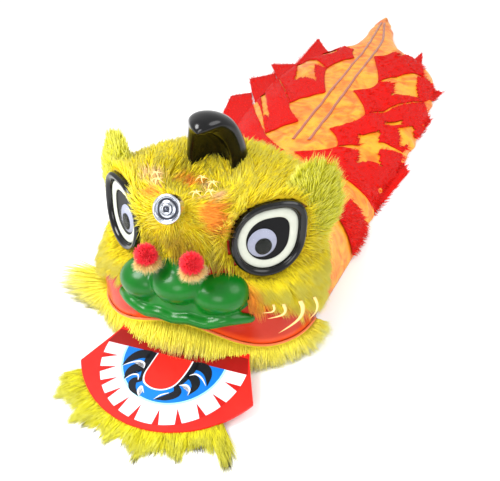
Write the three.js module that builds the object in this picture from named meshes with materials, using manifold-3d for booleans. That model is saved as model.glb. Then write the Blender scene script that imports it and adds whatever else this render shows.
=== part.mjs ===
// Child-size lion dance head with its body cloth, lying on a flat surface.
// Millimetres, +Z up. The lion faces -Y, its own left side is +X, and the surface is z = 0.
import * as THREE from 'three';
import { mergeVertices } from 'three/addons/utils/BufferGeometryUtils.js';
import Module from 'manifold-3d';

const wasm = await Module();
wasm.setup();

// Driving dimensions
const GAP = 0.4;                 // air left between two neighbouring pieces
const SHELL_WALL = 2.6;          // moulded plastic wall of the head
const FUR_DEPTH = 12;            // pile of the fur that covers the head
const FUR_SPLIT_Z = 132;         // height where the crown fur meets the cheek fur
const FUR_HEM_FRONT = 92;        // lower edge of the cheek fur beside the nose
const FUR_HEM_SIDE = 62;         // and at the sides
const REAR_Y = -45;              // rear rim of the shell on the surface
const REAR_SLOPE = 0.526;        // how far the rim leans back for each mm of height
const MOUTH_HALF = 106;          // half width of the mouth opening
const MOUTH_TOP = 43;
const LIP_CENTRE_Z = 66;         // lip line at the middle of the face
const LIP_SIDE_Z = 35;           // lip line at the corners of the mouth
const LIP_END = 78;              // angle from the front at which the lip ends, degrees
const LIP_STEP = 7.8;            // between two points of the lip line, degrees
const FRINGE_STEP = 9.75;        // between two locks of the fringe, degrees
const EYE_CENTRE = [106, -121, 176];
const EYE_NORMAL = [0.6127, -0.7787, 0.1349];
const EYE_RADIUS = 51;
const EYE_CORNER = 12;           // how far the outer upper corner stands out of the round
const EYE_CORNER_AT = 40;        // its direction, degrees
const EYE_SEAT = 9;              // depth of the eye's seat behind the eye plane
const WIGGLE_RADIUS = 19.5;
const MIRROR_CENTRE = [0, -184, 246];
const MIRROR_RADIUS = 18.5;
const MIRROR_TILT = 30;
const POMPOM_CENTRE = [31, -195, 180];
const POMPOM_RADIUS = 14;
const BOARD_THICK = 3;
const BOARD_FRONT_Y = -319;
const BOARD_FRONT_Z = 8;
const BOARD_SLOPE = 0.14;
const BEARD_FROM = -50;          // the beard's ends round the board, degrees from the front
const BEARD_TO = 38;
const CLOTH_THICK = 1.6;
const CLOTH_COLUMNS = 10;
const PLUSH_THICK = 7;
const PLUSH_SEAT = 0.1;          // the plush lies this far above the cloth's ridges
const PLUSH_PARTING = 3;         // least width of satin between two rows
const RIBBON_OFFSET = 16;        // each ribbon's distance from the spine
const RIBBON_FROM = 372;
const RIBBON_TO = 1370;

// Horizontal sections of the hard head: height, half width, front, back, centre, squareness of the front
const HEAD_SECTIONS = [
  { z: 0, half: 156, front: -170, back: 40, mid: -50, square: 2.8 },
  { z: 40, half: 163, front: -178, back: 48, mid: -50, square: 2.8 },
  { z: 85, half: 166, front: -181, back: 50, mid: -50, square: 2.5 },
  { z: 112, half: 162, front: -181, back: 50, mid: -50, square: 1.75 },
  { z: 138, half: 157, front: -180, back: 50, mid: -50, square: 1.38 },
  { z: 176, half: 156, front: -178, back: 50, mid: -50, square: 1.25 },
  { z: 206, half: 148, front: -175, back: 48, mid: -50, square: 1.38 },
  { z: 223, half: 114, front: -170, back: 44, mid: -55, square: 1.7 },
  { z: 235, half: 70, front: -158, back: 26, mid: -62, square: 2 },
];
const HEAD_TOP = { z: 240, mid: -74 };
const HORN_DISH = { y: -80, z: 305, radius: 92 };
const HEAD_BACK_SQUARE = 2.2;

// Cross-sections of the body cloth behind the head: distance, half width, ridge height, sideways shift
const CLOTH_SECTIONS = [
  { y: 110, half: 172, rise: 150, shift: 0, ripple: 0 },
  { y: 170, half: 176, rise: 112, shift: 3, ripple: 2 },
  { y: 240, half: 177, rise: 90, shift: 6, ripple: 4 },
  { y: 320, half: 174, rise: 78, shift: 9, ripple: 4 },
  { y: 430, half: 188, rise: 70, shift: 12, ripple: 5 },
  { y: 540, half: 201, rise: 64, shift: 15, ripple: 5 },
  { y: 650, half: 207, rise: 60, shift: 18, ripple: 5 },
  { y: 760, half: 206, rise: 56, shift: 21, ripple: 5 },
  { y: 870, half: 200, rise: 52, shift: 25, ripple: 4 },
  { y: 960, half: 178, rise: 47, shift: 29, ripple: 3 },
  { y: 1040, half: 130, rise: 42, shift: 30, ripple: 2 },
  { y: 1120, half: 66, rise: 34, shift: 27, ripple: 1 },
  { y: 1210, half: 48, rise: 26, shift: 20, ripple: 0 },
  { y: 1320, half: 34, rise: 17, shift: 9, ripple: 0 },
  { y: 1410, half: 18, rise: 10, shift: 1, ripple: 0 },
  { y: 1455, half: 5, rise: 5, shift: 0, ripple: 0 },
];

// Partings between the plush rows, from the front: where each starts near the spine and where it
// ends at the outer edge, and how wide the satin shows in its middle
const PLUSH_PARTINGS = {
  left: [
    { inner: 50, from: 252, outer: 182, to: 250, open: 0 },
    { inner: 85, from: 365, outer: 200, to: 478, open: 30 },
    { inner: 105, from: 545, outer: 210, to: 745, open: 14 },
    { inner: 96, from: 750, outer: 190, to: 890, open: 66 },
    { inner: 90, from: 1015, outer: 138, to: 1040, open: 0 },
  ],
  right: [
    { inner: -50, from: 252, outer: -182, to: 250, open: 0 },
    { inner: -68, from: 385, outer: -222, to: 735, open: 30 },
    { inner: -70, from: 565, outer: -204, to: 880, open: 6 },
    { inner: -48, from: 835, outer: -168, to: 965, open: 34 },
    { inner: -14, from: 1005, outer: -112, to: 1085, open: 0 },
  ],
};

// Each row's inner point towards the spine and its outer point beyond the edge
const PLUSH_POINTS = {
  left: [
    { neck: 16, at: 300, tip: 222, to: 430 },
    { neck: 50, at: 445, tip: 236, to: 690 },
    { neck: 50, at: 680, tip: 243, to: 868 },
    { neck: 50, at: 950, tip: 156, to: 1150 },
  ],
  right: [
    { neck: 0, at: 300, tip: -266, to: 700 },
    { neck: -18, at: 460, tip: -258, to: 822 },
    { neck: -6, at: 645, tip: -236, to: 942 },
    { neck: 3, at: 925, tip: -164, to: 1195 },
  ],
};
const PATCH_SEAT = 1.2;
const SIDE_PATCH = { from: 108, to: 196, low: 0.03, high: 0.22 };

const COLOURS = {
  shell: 0xd8431f, fur: 0xe2d737, brow: 0xd3cf45, fringe: 0xe4de4a, beard: 0xd7e132,
  black: 0x0c0c0d, cream: 0xd7dccb, white: 0xe9e9ef, lens: 0xf4f7fb, silver: 0xc9ccd0,
  green: 0x0a8c23, pompom: 0xf03240, ruff: 0xf0d6a8, board: 0xf0281f, piping: 0xf0702a,
  satin: 0xfdb446, plush: 0xfa2823, ribbon: 0xcc6a2c, tab: 0x9a1712,
};

const rad = THREE.MathUtils.degToRad;
const mix = THREE.MathUtils.lerp;
const vec = (x, y, z) => new THREE.Vector3(x, y, z);

// Solids

// A closed geometry as a solid that can be joined and cut
function solidOf(geometry) {
  const bare = geometry.clone();
  bare.deleteAttribute('normal');
  bare.deleteAttribute('uv');
  const welded = mergeVertices(bare, 1e-4);
  const mesh = new wasm.Mesh({
    numProp: 3,
    vertProperties: new Float32Array(welded.attributes.position.array),
    triVerts: new Uint32Array(welded.index.array),
  });
  return new wasm.Manifold(mesh);
}

function geometryOf(solid) {
  const mesh = solid.getMesh();
  const geometry = new THREE.BufferGeometry();
  geometry.setAttribute('position', new THREE.BufferAttribute(new Float32Array(mesh.vertProperties), 3));
  geometry.setIndex(new THREE.BufferAttribute(new Uint32Array(mesh.triVerts), 1));
  geometry.computeVertexNormals();
  return geometry;
}

const joined = (solids) => solids.reduce((sum, solid) => sum.add(solid));

function geometryFrom(points, triangles) {
  const geometry = new THREE.BufferGeometry();
  const numbers = points.flatMap((p) => [p.x, p.y, p.z]);
  geometry.setAttribute('position', new THREE.Float32BufferAttribute(numbers, 3));
  geometry.setIndex(triangles);
  return geometry;
}

// Rings of equal count, joined side to side and closed at both ends. The faces of the second half
// mirror those of the first, so that a mirrored neighbour still fits.
function loft(rings) {
  const count = rings[0].length;
  const points = rings.flat();
  const triangles = [];
  for (let r = 0; r < rings.length - 1; r += 1) {
    for (let k = 0; k < count; k += 1) {
      const a = r * count + k;
      const b = r * count + (k + 1) % count;
      if (k < count / 2) triangles.push(a, b, b + count, a, b + count, a + count);
      else triangles.push(a, b, a + count, b, b + count, a + count);
    }
  }
  const closeEnd = (ring, start, flip) => {
    const centre = ring.reduce((sum, p) => sum.add(p), vec(0, 0, 0)).divideScalar(count);
    points.push(centre);
    for (let k = 0; k < count; k += 1) {
      const a = start + k;
      const b = start + (k + 1) % count;
      triangles.push(points.length - 1, flip ? b : a, flip ? a : b);
    }
  };
  closeEnd(rings[0], 0, true);
  closeEnd(rings[rings.length - 1], (rings.length - 1) * count, false);
  return geometryFrom(points, triangles);
}

// A sheet between two grids of the same size, closed round its four edges
function sheetBetween(outer, inner) {
  const rows = outer.length;
  const columns = outer[0].length;
  const half = rows * columns;
  const points = [...outer.flat(), ...inner.flat()];
  const triangles = [];
  const quad = (a, b, c, d) => triangles.push(a, b, c, a, c, d);
  const at = (r, c) => r * columns + c;
  for (let r = 0; r < rows - 1; r += 1) {
    for (let c = 0; c < columns - 1; c += 1) {
      quad(at(r, c), at(r, c + 1), at(r + 1, c + 1), at(r + 1, c));
      quad(half + at(r, c), half + at(r + 1, c), half + at(r + 1, c + 1), half + at(r, c + 1));
    }
  }
  for (let c = 0; c < columns - 1; c += 1) {
    quad(at(0, c), half + at(0, c), half + at(0, c + 1), at(0, c + 1));
    quad(at(rows - 1, c), at(rows - 1, c + 1), half + at(rows - 1, c + 1), half + at(rows - 1, c));
  }
  for (let r = 0; r < rows - 1; r += 1) {
    quad(at(r, 0), at(r + 1, 0), half + at(r + 1, 0), half + at(r, 0));
    const last = columns - 1;
    quad(at(r, last), half + at(r, last), half + at(r + 1, last), at(r + 1, last));
  }
  return geometryFrom(points, triangles);
}

// Turns a geometry inside out if its faces point inwards
function outward(geometry) {
  const p = geometry.attributes.position;
  const index = geometry.index.array;
  let volume = 0;
  for (let i = 0; i < index.length; i += 3) {
    const [a, b, c] = [0, 1, 2].map((k) => new THREE.Vector3().fromBufferAttribute(p, index[i + k]));
    volume += a.dot(b.cross(c));
  }
  if (volume < 0) {
    for (let i = 0; i < index.length; i += 3) [index[i], index[i + 1]] = [index[i + 1], index[i]];
  }
  return geometry;
}

const solidLoft = (rings) => solidOf(outward(loft(rings)));

// The same solid on the other side of the lion
function mirrored(solid) {
  const geometry = geometryOf(solid);
  geometry.scale(-1, 1, 1);
  return solidOf(outward(geometry));
}

function box(x0, x1, y0, y1, z0, z1) {
  const geometry = new THREE.BoxGeometry(x1 - x0, y1 - y0, z1 - z0);
  geometry.translate((x0 + x1) / 2, (y0 + y1) / 2, (z0 + z1) / 2);
  return solidOf(geometry);
}

function ball(centre, radii, sides = 16) {
  const geometry = new THREE.SphereGeometry(1, sides, Math.round(sides * 0.65));
  geometry.scale(...radii);
  geometry.translate(...centre);
  return solidOf(geometry);
}

// A lock of fur: a three-sided point that starts a little inside what it grows from
function lock(root, direction, length, width) {
  const geometry = new THREE.ConeGeometry(width / 2, length, 3);
  geometry.translate(0, length / 2, 0);
  const turn = new THREE.Quaternion().setFromUnitVectors(vec(0, 1, 0), direction.clone().normalize());
  geometry.applyQuaternion(turn);
  geometry.translate(root.x, root.y, root.z);
  return solidOf(geometry);
}

// The head's form

function sectionAt(z) {
  const rows = HEAD_SECTIONS;
  for (let i = 0; i < rows.length - 1; i += 1) {
    const a = rows[i];
    const b = rows[i + 1];
    if (z <= b.z) {
      const t = (z - a.z) / (b.z - a.z);
      const between = (key) => mix(a[key], b[key], t);
      return {
        half: between('half'), front: between('front'), back: between('back'),
        mid: between('mid'), square: between('square'),
      };
    }
  }
  return rows[rows.length - 1];
}

// Point of the head at a height and at an angle from the front, pushed out by a distance
function headPoint(z, degrees, out = 0) {
  const s = sectionAt(z);
  const side = Math.sin(rad(degrees));
  const ahead = Math.cos(rad(degrees));
  const reach = ahead > 0 ? s.mid - s.front + out : s.back - s.mid + out;
  const power = ahead > 0 ? s.square : HEAD_BACK_SQUARE;
  const gauge = Math.abs(side / (s.half + out)) ** power + Math.abs(ahead / reach) ** power;
  const r = gauge ** (-1 / power);
  return vec(r * side, s.mid - r * ahead, z);
}

// The whole head form as a solid, grown or shrunk by a distance
function headForm(out, bottom = -20) {
  const columns = 20;
  const heights = [bottom, ...HEAD_SECTIONS.slice(1).map((s) => s.z)];
  const rings = heights.map((z, i) => Array.from({ length: columns }, (_, k) => {
    const p = headPoint(z, k * 360 / columns, out);
    p.z = i === 0 ? bottom : z + out * (z / HEAD_TOP.z) ** 4;
    return p;
  }));
  const top = vec(0, HEAD_TOP.mid, HEAD_TOP.z + out);
  rings.push(rings[0].map((_, k) => top.clone().add(
    vec(Math.sin(rad(k * 360 / columns)), -Math.cos(rad(k * 360 / columns)), 0))));
  const dishRadius = HORN_DISH.radius - out;
  const dish = ball([0, HORN_DISH.y, HORN_DISH.z], Array(3).fill(dishRadius), 12);
  return solidLoft(rings).subtract(dish);
}

// Everything behind the plane of the rear rim, moved back by a distance
function behindRim(back) {
  const lean = Math.atan(REAR_SLOPE);
  const geometry = new THREE.BoxGeometry(700, 600, 900);
  geometry.translate(0, 300, 0);
  geometry.rotateX(-lean);
  geometry.translate(0, REAR_Y + back, 0);
  return solidOf(geometry);
}

function surfaceNormal(z, degrees) {
  const along = headPoint(z, degrees + 1).sub(headPoint(z, degrees - 1));
  const up = headPoint(z + 2, degrees).sub(headPoint(z - 2, degrees));
  const normal = along.cross(up).normalize();
  const outwards = headPoint(z, degrees).sub(vec(0, -60, 110));
  return normal.dot(outwards) < 0 ? normal.negate() : normal;
}

// Eyes

const eyeAxes = (() => {
  const n = vec(...EYE_NORMAL).normalize();
  const across = vec(-n.y, n.x, 0).normalize();
  const up = n.clone().cross(across).normalize();
  return new THREE.Matrix4().makeBasis(across, up, n).setPosition(...EYE_CENTRE);
})();

// Teardrop outline of the eye, scaled about its middle and grown by a distance
function eyeOutline(scale, grow = 0, count = 16) {
  const points = [];
  for (let k = 0; k < count; k += 1) {
    const angle = k * 360 / count;
    const from = ((angle - EYE_CORNER_AT + 540) % 360) - 180;
    const r = scale * (EYE_RADIUS + EYE_CORNER * Math.exp(-((from / 27) ** 2))) + grow;
    points.push([r * Math.cos(rad(angle)), 3 + r * Math.sin(rad(angle))]);
  }
  return points;
}

// A solid lofted through teardrops: each row gives scale, growth and depth along the eye's axis
function eyeSolid(rows) {
  const rings = rows.map((row) => eyeOutline(row.scale, row.grow)
    .map(([u, v]) => vec(u, v, row.depth).applyMatrix4(eyeAxes)));
  return solidLoft(rings);
}

const eyePrism = (scale, grow, deep, high) => eyeSolid([
  { scale, grow, depth: deep }, { scale, grow, depth: high },
]);

function eyeTurned(profile, sides, centre) {
  const geometry = new THREE.LatheGeometry(profile.map(([r, h]) => new THREE.Vector2(r, h)), sides);
  geometry.rotateX(Math.PI / 2);
  geometry.translate(centre[0], centre[1], 0);
  geometry.applyMatrix4(eyeAxes);
  return solidOf(geometry);
}

const eyeWell = eyePrism(1, GAP, -EYE_SEAT, 70);
const eyeSeat = eyePrism(1, -1, -60, -EYE_SEAT);
const eyeRoom = eyePrism(1, GAP, -60, 70);
const eyeHollowStop = eyePrism(1, 1.5, -EYE_SEAT - SHELL_WALL, 70);

// Head shell

const hollow = headForm(-SHELL_WALL)
  .subtract(eyeHollowStop)
  .subtract(mirrored(eyeHollowStop));

function mouthCut() {
  const outline = new THREE.Shape();
  const corner = 26;
  outline.moveTo(-MOUTH_HALF, -30);
  outline.lineTo(-MOUTH_HALF, MOUTH_TOP - corner);
  outline.quadraticCurveTo(-MOUTH_HALF, MOUTH_TOP, -MOUTH_HALF + corner, MOUTH_TOP);
  outline.lineTo(MOUTH_HALF - corner, MOUTH_TOP);
  outline.quadraticCurveTo(MOUTH_HALF, MOUTH_TOP, MOUTH_HALF, MOUTH_TOP - corner);
  outline.lineTo(MOUTH_HALF, -30);
  outline.closePath();
  const geometry = new THREE.ExtrudeGeometry(outline, { depth: 120, bevelEnabled: false, curveSegments: 4 });
  geometry.rotateX(Math.PI / 2);
  geometry.translate(0, -110, 0);
  return solidOf(geometry);
}

const headShell = headForm(0)
  .add(eyeSeat.intersect(headForm(30)))
  .add(mirrored(eyeSeat.intersect(headForm(30))))
  .subtract(eyeWell)
  .subtract(mirrored(eyeWell))
  .subtract(hollow)
  .subtract(behindRim(0))
  .subtract(mouthCut())
  .subtract(box(-400, 400, -400, 400, -60, 0));

// Fur over the head

const overShell = headForm(GAP);
const furOuter = headForm(FUR_DEPTH);

// Everything below a height that changes with the angle from the front
function below(heightAt) {
  const columns = 24;
  const ring = (radius, height) => Array.from({ length: columns }, (_, k) => {
    const at = k * 360 / columns;
    const fromFront = Math.min(at, 360 - at);
    return vec(radius * Math.sin(rad(at)), -60 - radius * Math.cos(rad(at)), height(fromFront));
  });
  return solidLoft([ring(500, () => -60), ring(500, heightAt), ring(70, heightAt)]);
}

// Lower edge of the cheek fur, above the bare lip of the shell
function furHem(degrees) {
  const t = THREE.MathUtils.smoothstep(degrees, 44, 76);
  return mix(FUR_HEM_FRONT, FUR_HEM_SIDE, t);
}

const NOSE_ROOMS = [
  { at: [0, -190, 112], size: [105, 90, 64] },
  { at: [0, -178, 90], size: [108, 50, 24] },
];
const noseRoom = joined(NOSE_ROOMS.map((room) => ball(room.at, room.size, 12)));

function furLocks(rows) {
  return rows.map((row) => {
    const root = headPoint(row.z, row.at, FUR_DEPTH - 5);
    root.z += (FUR_DEPTH - 5) * (row.z / HEAD_TOP.z) ** 4;
    return lock(root, row.direction, row.length, row.width);
  });
}

// Locks round the lower edge of one cheek, by angle, and up its rear edge, by height
const CHEEK_HEM = { from: 43, to: 93, step: 10 };
const CHEEK_REAR = { from: 72, to: 124, step: 13 };

function cheekLocks() {
  const rows = [];
  for (let at = CHEEK_HEM.from; at <= CHEEK_HEM.to; at += CHEEK_HEM.step) {
    const z = furHem(at) + 5;
    const droop = vec(0, 0, -1.1).add(surfaceNormal(z, at).multiplyScalar(0.6));
    rows.push({ z, at, direction: droop, length: 24 + 5 * Math.sin(at * 2.3), width: 24 });
  }
  for (let z = CHEEK_REAR.from; z <= CHEEK_REAR.to; z += CHEEK_REAR.step) {
    const at = 91 + (z - CHEEK_REAR.from) * 0.1;
    rows.push({ z, at, direction: vec(0.7, 0.75, -0.35), length: 22, width: 20 });
  }
  return furLocks(rows);
}

const cheekFur = furOuter
  .subtract(below(furHem))
  .subtract(behindRim(-46))
  .add(joined(cheekLocks()))
  .subtract(overShell)
  .subtract(noseRoom)
  .subtract(box(-400, 20, -400, 400, -60, 400))
  .subtract(box(-400, 400, -400, 400, FUR_SPLIT_Z - GAP, 400))
  .subtract(eyeRoom);

// Locks that hang over the back rim of the crown, by the share of the way round it
const CROWN_LOCKS = { from: 0.245, to: 0.76, step: 0.0637 };

function crownLocks() {
  const rows = [];
  for (let share = CROWN_LOCKS.from; share <= CROWN_LOCKS.to; share += CROWN_LOCKS.step) {
    const root = rimPoint(share, FUR_DEPTH - 5).add(vec(0, -7, 0));
    rows.push(lock(root, vec(-Math.cos(share * Math.PI) * 0.6, 0.75, -0.35), 32, 30));
  }
  return rows;
}

const crownFur = furOuter
  .subtract(box(-400, 400, -400, 400, -60, FUR_SPLIT_Z))
  .subtract(behindRim(-2))
  .add(joined(crownLocks()))
  .subtract(clothRoom())
  .subtract(overShell)
  .subtract(noseRoom)
  .subtract(eyeRoom)
  .subtract(mirrored(eyeRoom));

// Brow flares: upright leaves above the outer half of each eye

const BROW_ROWS = [
  { z: 162, x: 144, y: -58, half: 22, thick: 8 },
  { z: 178, x: 145, y: -57, half: 34, thick: 12 },
  { z: 200, x: 145, y: -54, half: 40, thick: 14 },
  { z: 221, x: 144, y: -50, half: 36, thick: 13 },
  { z: 238, x: 144, y: -46, half: 25, thick: 10 },
  { z: 250, x: 145, y: -42, half: 12, thick: 6 },
  { z: 257, x: 144, y: -39, half: 3, thick: 2 },
];

function browFlare() {
  const across = vec(-EYE_NORMAL[1], EYE_NORMAL[0], 0).normalize();
  const ahead = vec(EYE_NORMAL[0], EYE_NORMAL[1], 0).normalize();
  const rings = BROW_ROWS.map((row) => Array.from({ length: 10 }, (_, k) => {
    const angle = k * Math.PI / 5;
    return vec(row.x, row.y, row.z)
      .addScaledVector(across, row.half * Math.cos(angle))
      .addScaledVector(ahead, row.thick * Math.sin(angle));
  }));
  const locks = [];
  for (const row of BROW_ROWS.slice(1, 5)) {
    const root = vec(row.x, row.y, row.z - 4).addScaledVector(across, row.half * 0.6);
    locks.push(lock(root, vec(0.7, 0.45, (row.z - 190) * 0.008), 20, 16));
  }
  return solidLoft(rings).add(joined(locks));
}

const furSkin = headForm(FUR_DEPTH + GAP);
const brow = browFlare().subtract(furSkin).subtract(eyePrism(1, 2, -60, 20));

// Horn: a forward hook with a scooped front

const HORN_ROWS = [
  { y: -24, z: 206, wide: 44, deep: 33, lean: 0 },
  { y: -24, z: 240, wide: 44, deep: 31, lean: 4 },
  { y: -28, z: 266, wide: 40, deep: 26, lean: 18 },
  { y: -38, z: 287, wide: 34, deep: 21, lean: 40 },
  { y: -54, z: 299, wide: 26, deep: 15, lean: 64 },
  { y: -70, z: 301, wide: 17, deep: 10, lean: 88 },
  { y: -82, z: 298, wide: 6, deep: 4, lean: 104 },
];

function hornSolid() {
  const rings = HORN_ROWS.map((row) => Array.from({ length: 12 }, (_, k) => {
    const angle = k * Math.PI / 6;
    const back = row.deep * Math.sin(angle);
    return vec(
      row.wide * Math.cos(angle),
      row.y + back * Math.cos(rad(row.lean)),
      row.z + back * Math.sin(rad(row.lean)),
    );
  }));
  return solidLoft(rings);
}

const horn = hornSolid()
  .subtract(ball([0, -67, 238], [34, 43, 52], 12))
  .subtract(furSkin);

// Nose: three lobes, the groove and the wavy rim of the upper lip

function rimTube(rows, radius) {
  const curve = new THREE.CatmullRomCurve3(rows.map((row) => vec(row.x, row.y, row.z)));
  const section = new THREE.Shape();
  section.absarc(0, 0, radius, 0, Math.PI * 2, false);
  const geometry = new THREE.ExtrudeGeometry(section, {
    steps: 12, curveSegments: 3, bevelEnabled: false, extrudePath: curve,
  });
  return solidOf(geometry);
}

const NOSE_RIM = [
  { x: -92, y: -166, z: 84 }, { x: -70, y: -187, z: 91 }, { x: -44, y: -195, z: 85 },
  { x: -22, y: -199, z: 90 }, { x: 0, y: -199, z: 86 }, { x: 22, y: -199, z: 90 },
  { x: 44, y: -195, z: 85 }, { x: 70, y: -187, z: 91 }, { x: 92, y: -166, z: 84 },
];
const NOSE_BULB = { at: [0, -173, 130], size: [38, 36, 27] };
const NOSE_BRIDGE = { at: [0, -164, 149], size: [22, 24, 20] };
const NOSE_WING = { at: [51, -163, 117], size: [40, 36, 27] };

const nose = joined([
  ball(NOSE_BULB.at, NOSE_BULB.size, 12),
  ball(NOSE_BRIDGE.at, NOSE_BRIDGE.size, 8),
  ball(NOSE_WING.at, NOSE_WING.size, 12),
  mirrored(ball(NOSE_WING.at, NOSE_WING.size, 12)),
  ball([0, -168, 101], [84, 28, 22], 10),
  rimTube(NOSE_RIM, 8),
]).subtract(overShell);

const grown = (form, sides) => ball(form.at, form.size.map((r) => r + GAP), sides);

// Pompoms on the nose bridge, each on a cream ruff

function pompomParts() {
  const [x, y, z] = POMPOM_CENTRE;
  const locks = [];
  const count = 8;
  for (let k = 0; k < count; k += 1) {
    const height = 1 - 2 * (k + 0.5) / count;
    const turn = k * Math.PI * (3 - Math.sqrt(5));
    const flat = Math.sqrt(1 - height * height);
    const direction = vec(flat * Math.cos(turn), flat * Math.sin(turn), height);
    locks.push(lock(vec(x, y, z), direction, POMPOM_RADIUS * 1.16, POMPOM_RADIUS * 1.2));
  }
  const head = ball(POMPOM_CENTRE, [POMPOM_RADIUS * 0.94, POMPOM_RADIUS * 0.94, POMPOM_RADIUS * 0.94], 8)
    .add(joined(locks));
  const ruffCentre = [x, y + 1, z - 11];
  const ruff = ball(ruffCentre, [POMPOM_RADIUS * 1.2, POMPOM_RADIUS * 1.2, 7], 10);
  return { head, ruff };
}

const pompom = pompomParts();
const pompomHead = pompom.head.subtract(furSkin).subtract(grown(NOSE_BRIDGE, 10));
const pompomRoom = ball(POMPOM_CENTRE, [1, 1, 1].map((k) => k * (POMPOM_RADIUS * 1.18 + GAP)), 12);
const ruff = pompom.ruff
  .subtract(pompomRoom)
  .subtract(furSkin)
  .subtract(grown(NOSE_BULB, 12))
  .subtract(grown(NOSE_BRIDGE, 10));

// Lip fringe, its piping and the jaw

function lipHeight(degrees) {
  const t = Math.min(Math.abs(degrees) / 52, 1);
  return mix(LIP_CENTRE_Z, LIP_SIDE_Z, (1 - Math.cos(Math.PI * t)) / 2);
}

// A band on the shell that follows the lip line: depth below it and distance from the shell
function lipBand(high, low, near, far) {
  const outer = [];
  const inner = [];
  for (const out of [far, near]) {
    const grid = out === far ? outer : inner;
    for (const drop of [high, low]) {
      const line = [];
      for (let at = -LIP_END; at <= LIP_END; at += LIP_STEP) {
        const z = lipHeight(at) + drop;
        line.push(headPoint(z, at, out));
      }
      grid.push(line);
    }
  }
  return solidOf(outward(sheetBetween(outer, inner)));
}

// Locks along the lip line, and a longer tuft at each end
const FRINGE_TUFTS = { left: 16, right: 62 };
const TUFT_FROM = 62;

function fringeLocks() {
  const locks = [];
  for (let at = -LIP_END; at <= LIP_END; at += FRINGE_STEP) {
    const z = lipHeight(at) - 9;
    const root = headPoint(z, at, 4);
    const out = surfaceNormal(Math.max(z, 10), at).setZ(0).normalize();
    const side = Math.abs(at) / LIP_END;
    const end = THREE.MathUtils.smoothstep(Math.abs(at), TUFT_FROM, LIP_END);
    const tuft = end * (at < 0 ? FRINGE_TUFTS.right : FRINGE_TUFTS.left);
    const length = mix(42, 34, side) + 4 * Math.sin(at * 1.7) + tuft;
    const falls = end > 0 ? [mix(0.6, 0, end), mix(0.75, 0.42, end)] : [0.86];
    for (const [i, share] of falls.entries()) {
      const inMouth = Math.abs(root.x) < MOUTH_HALF + 8;
      const floor = inMouth ? jawHeight(root.y) + 3 : 6;
      const fall = THREE.MathUtils.clamp((root.z - floor) / length, -0.2, share);
      const direction = out.clone().multiplyScalar(Math.sqrt(1 - fall * fall)).add(vec(0, 0, -fall));
      locks.push(lock(root, direction, length * (1 - 0.25 * i), mix(20, 26, end)));
    }
  }
  return locks;
}

const lipFringe = lipBand(-3, -15, GAP, 7)
  .add(joined(fringeLocks()))
  .subtract(overShell)
  .subtract(lipBand(14, -2.4 - GAP, 0, 18))
  .subtract(boardRoom())
  .subtract(box(-400, 400, -400, 400, -60, 1));

const lipPiping = lipBand(0.5, -2.4, GAP, 3.4);

function jawHeight(y) {
  return BOARD_FRONT_Z + BOARD_SLOPE * (y - BOARD_FRONT_Y);
}

function boardRoom() {
  return solidOf(onJaw(new THREE.ExtrudeGeometry(boardOutline(-GAP), {
    depth: BOARD_THICK + 2 * GAP, bevelEnabled: false, curveSegments: 12,
  }), -BOARD_THICK - GAP));
}

function boardOutline(shrink = 0) {
  const outline = new THREE.Shape();
  const half = 125 - shrink;
  const front = BOARD_FRONT_Y + shrink;
  const sag = 71;
  const radius = (half * half + sag * sag) / (2 * sag);
  const spread = Math.asin(half / radius);
  outline.moveTo(-88, -118);
  outline.lineTo(-96, -182);
  outline.lineTo(-107 + shrink, -207);
  outline.absarc(0, front + radius, radius, -Math.PI / 2 - spread, -Math.PI / 2 + spread, false);
  outline.lineTo(107 - shrink, -207);
  outline.lineTo(96, -182);
  outline.lineTo(88, -118);
  outline.closePath();
  return outline;
}

// Lays a flat plate on the slope of the jaw
function onJaw(geometry, lift) {
  const shear = new THREE.Matrix4().set(
    1, 0, 0, 0,
    0, 1, 0, 0,
    0, BOARD_SLOPE, 1, BOARD_FRONT_Z - BOARD_SLOPE * BOARD_FRONT_Y + lift,
    0, 0, 0, 1,
  );
  return geometry.applyMatrix4(shear);
}

const jawBoard = solidOf(onJaw(new THREE.ExtrudeGeometry(boardOutline(), {
  depth: BOARD_THICK, bevelEnabled: false, curveSegments: 18,
}), -BOARD_THICK));

// Cloth tab that ties a rear corner of the jaw board to the wall of the shell
function jawTab() {
  const y0 = -146;
  const y1 = -122;
  const top = jawHeight(y0) + GAP;
  const outline = new THREE.Shape();
  outline.moveTo(70, 0);
  outline.lineTo(131, 0);
  outline.lineTo(139, 18);
  outline.lineTo(136.5, 19);
  outline.lineTo(129.2, 2.4);
  outline.lineTo(70, 2.4);
  outline.closePath();
  const geometry = new THREE.ExtrudeGeometry(outline, { depth: y1 - y0, bevelEnabled: false });
  geometry.rotateX(Math.PI / 2);
  geometry.translate(0, y1, 0);
  const lean = new THREE.Matrix4().set(
    1, 0, 0, 0,
    0, 1, 0, 0,
    0, BOARD_SLOPE, 1, top - BOARD_SLOPE * y0,
    0, 0, 0, 1,
  );
  geometry.applyMatrix4(lean);
  return solidOf(geometry).intersect(headForm(-SHELL_WALL - GAP));
}

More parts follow.
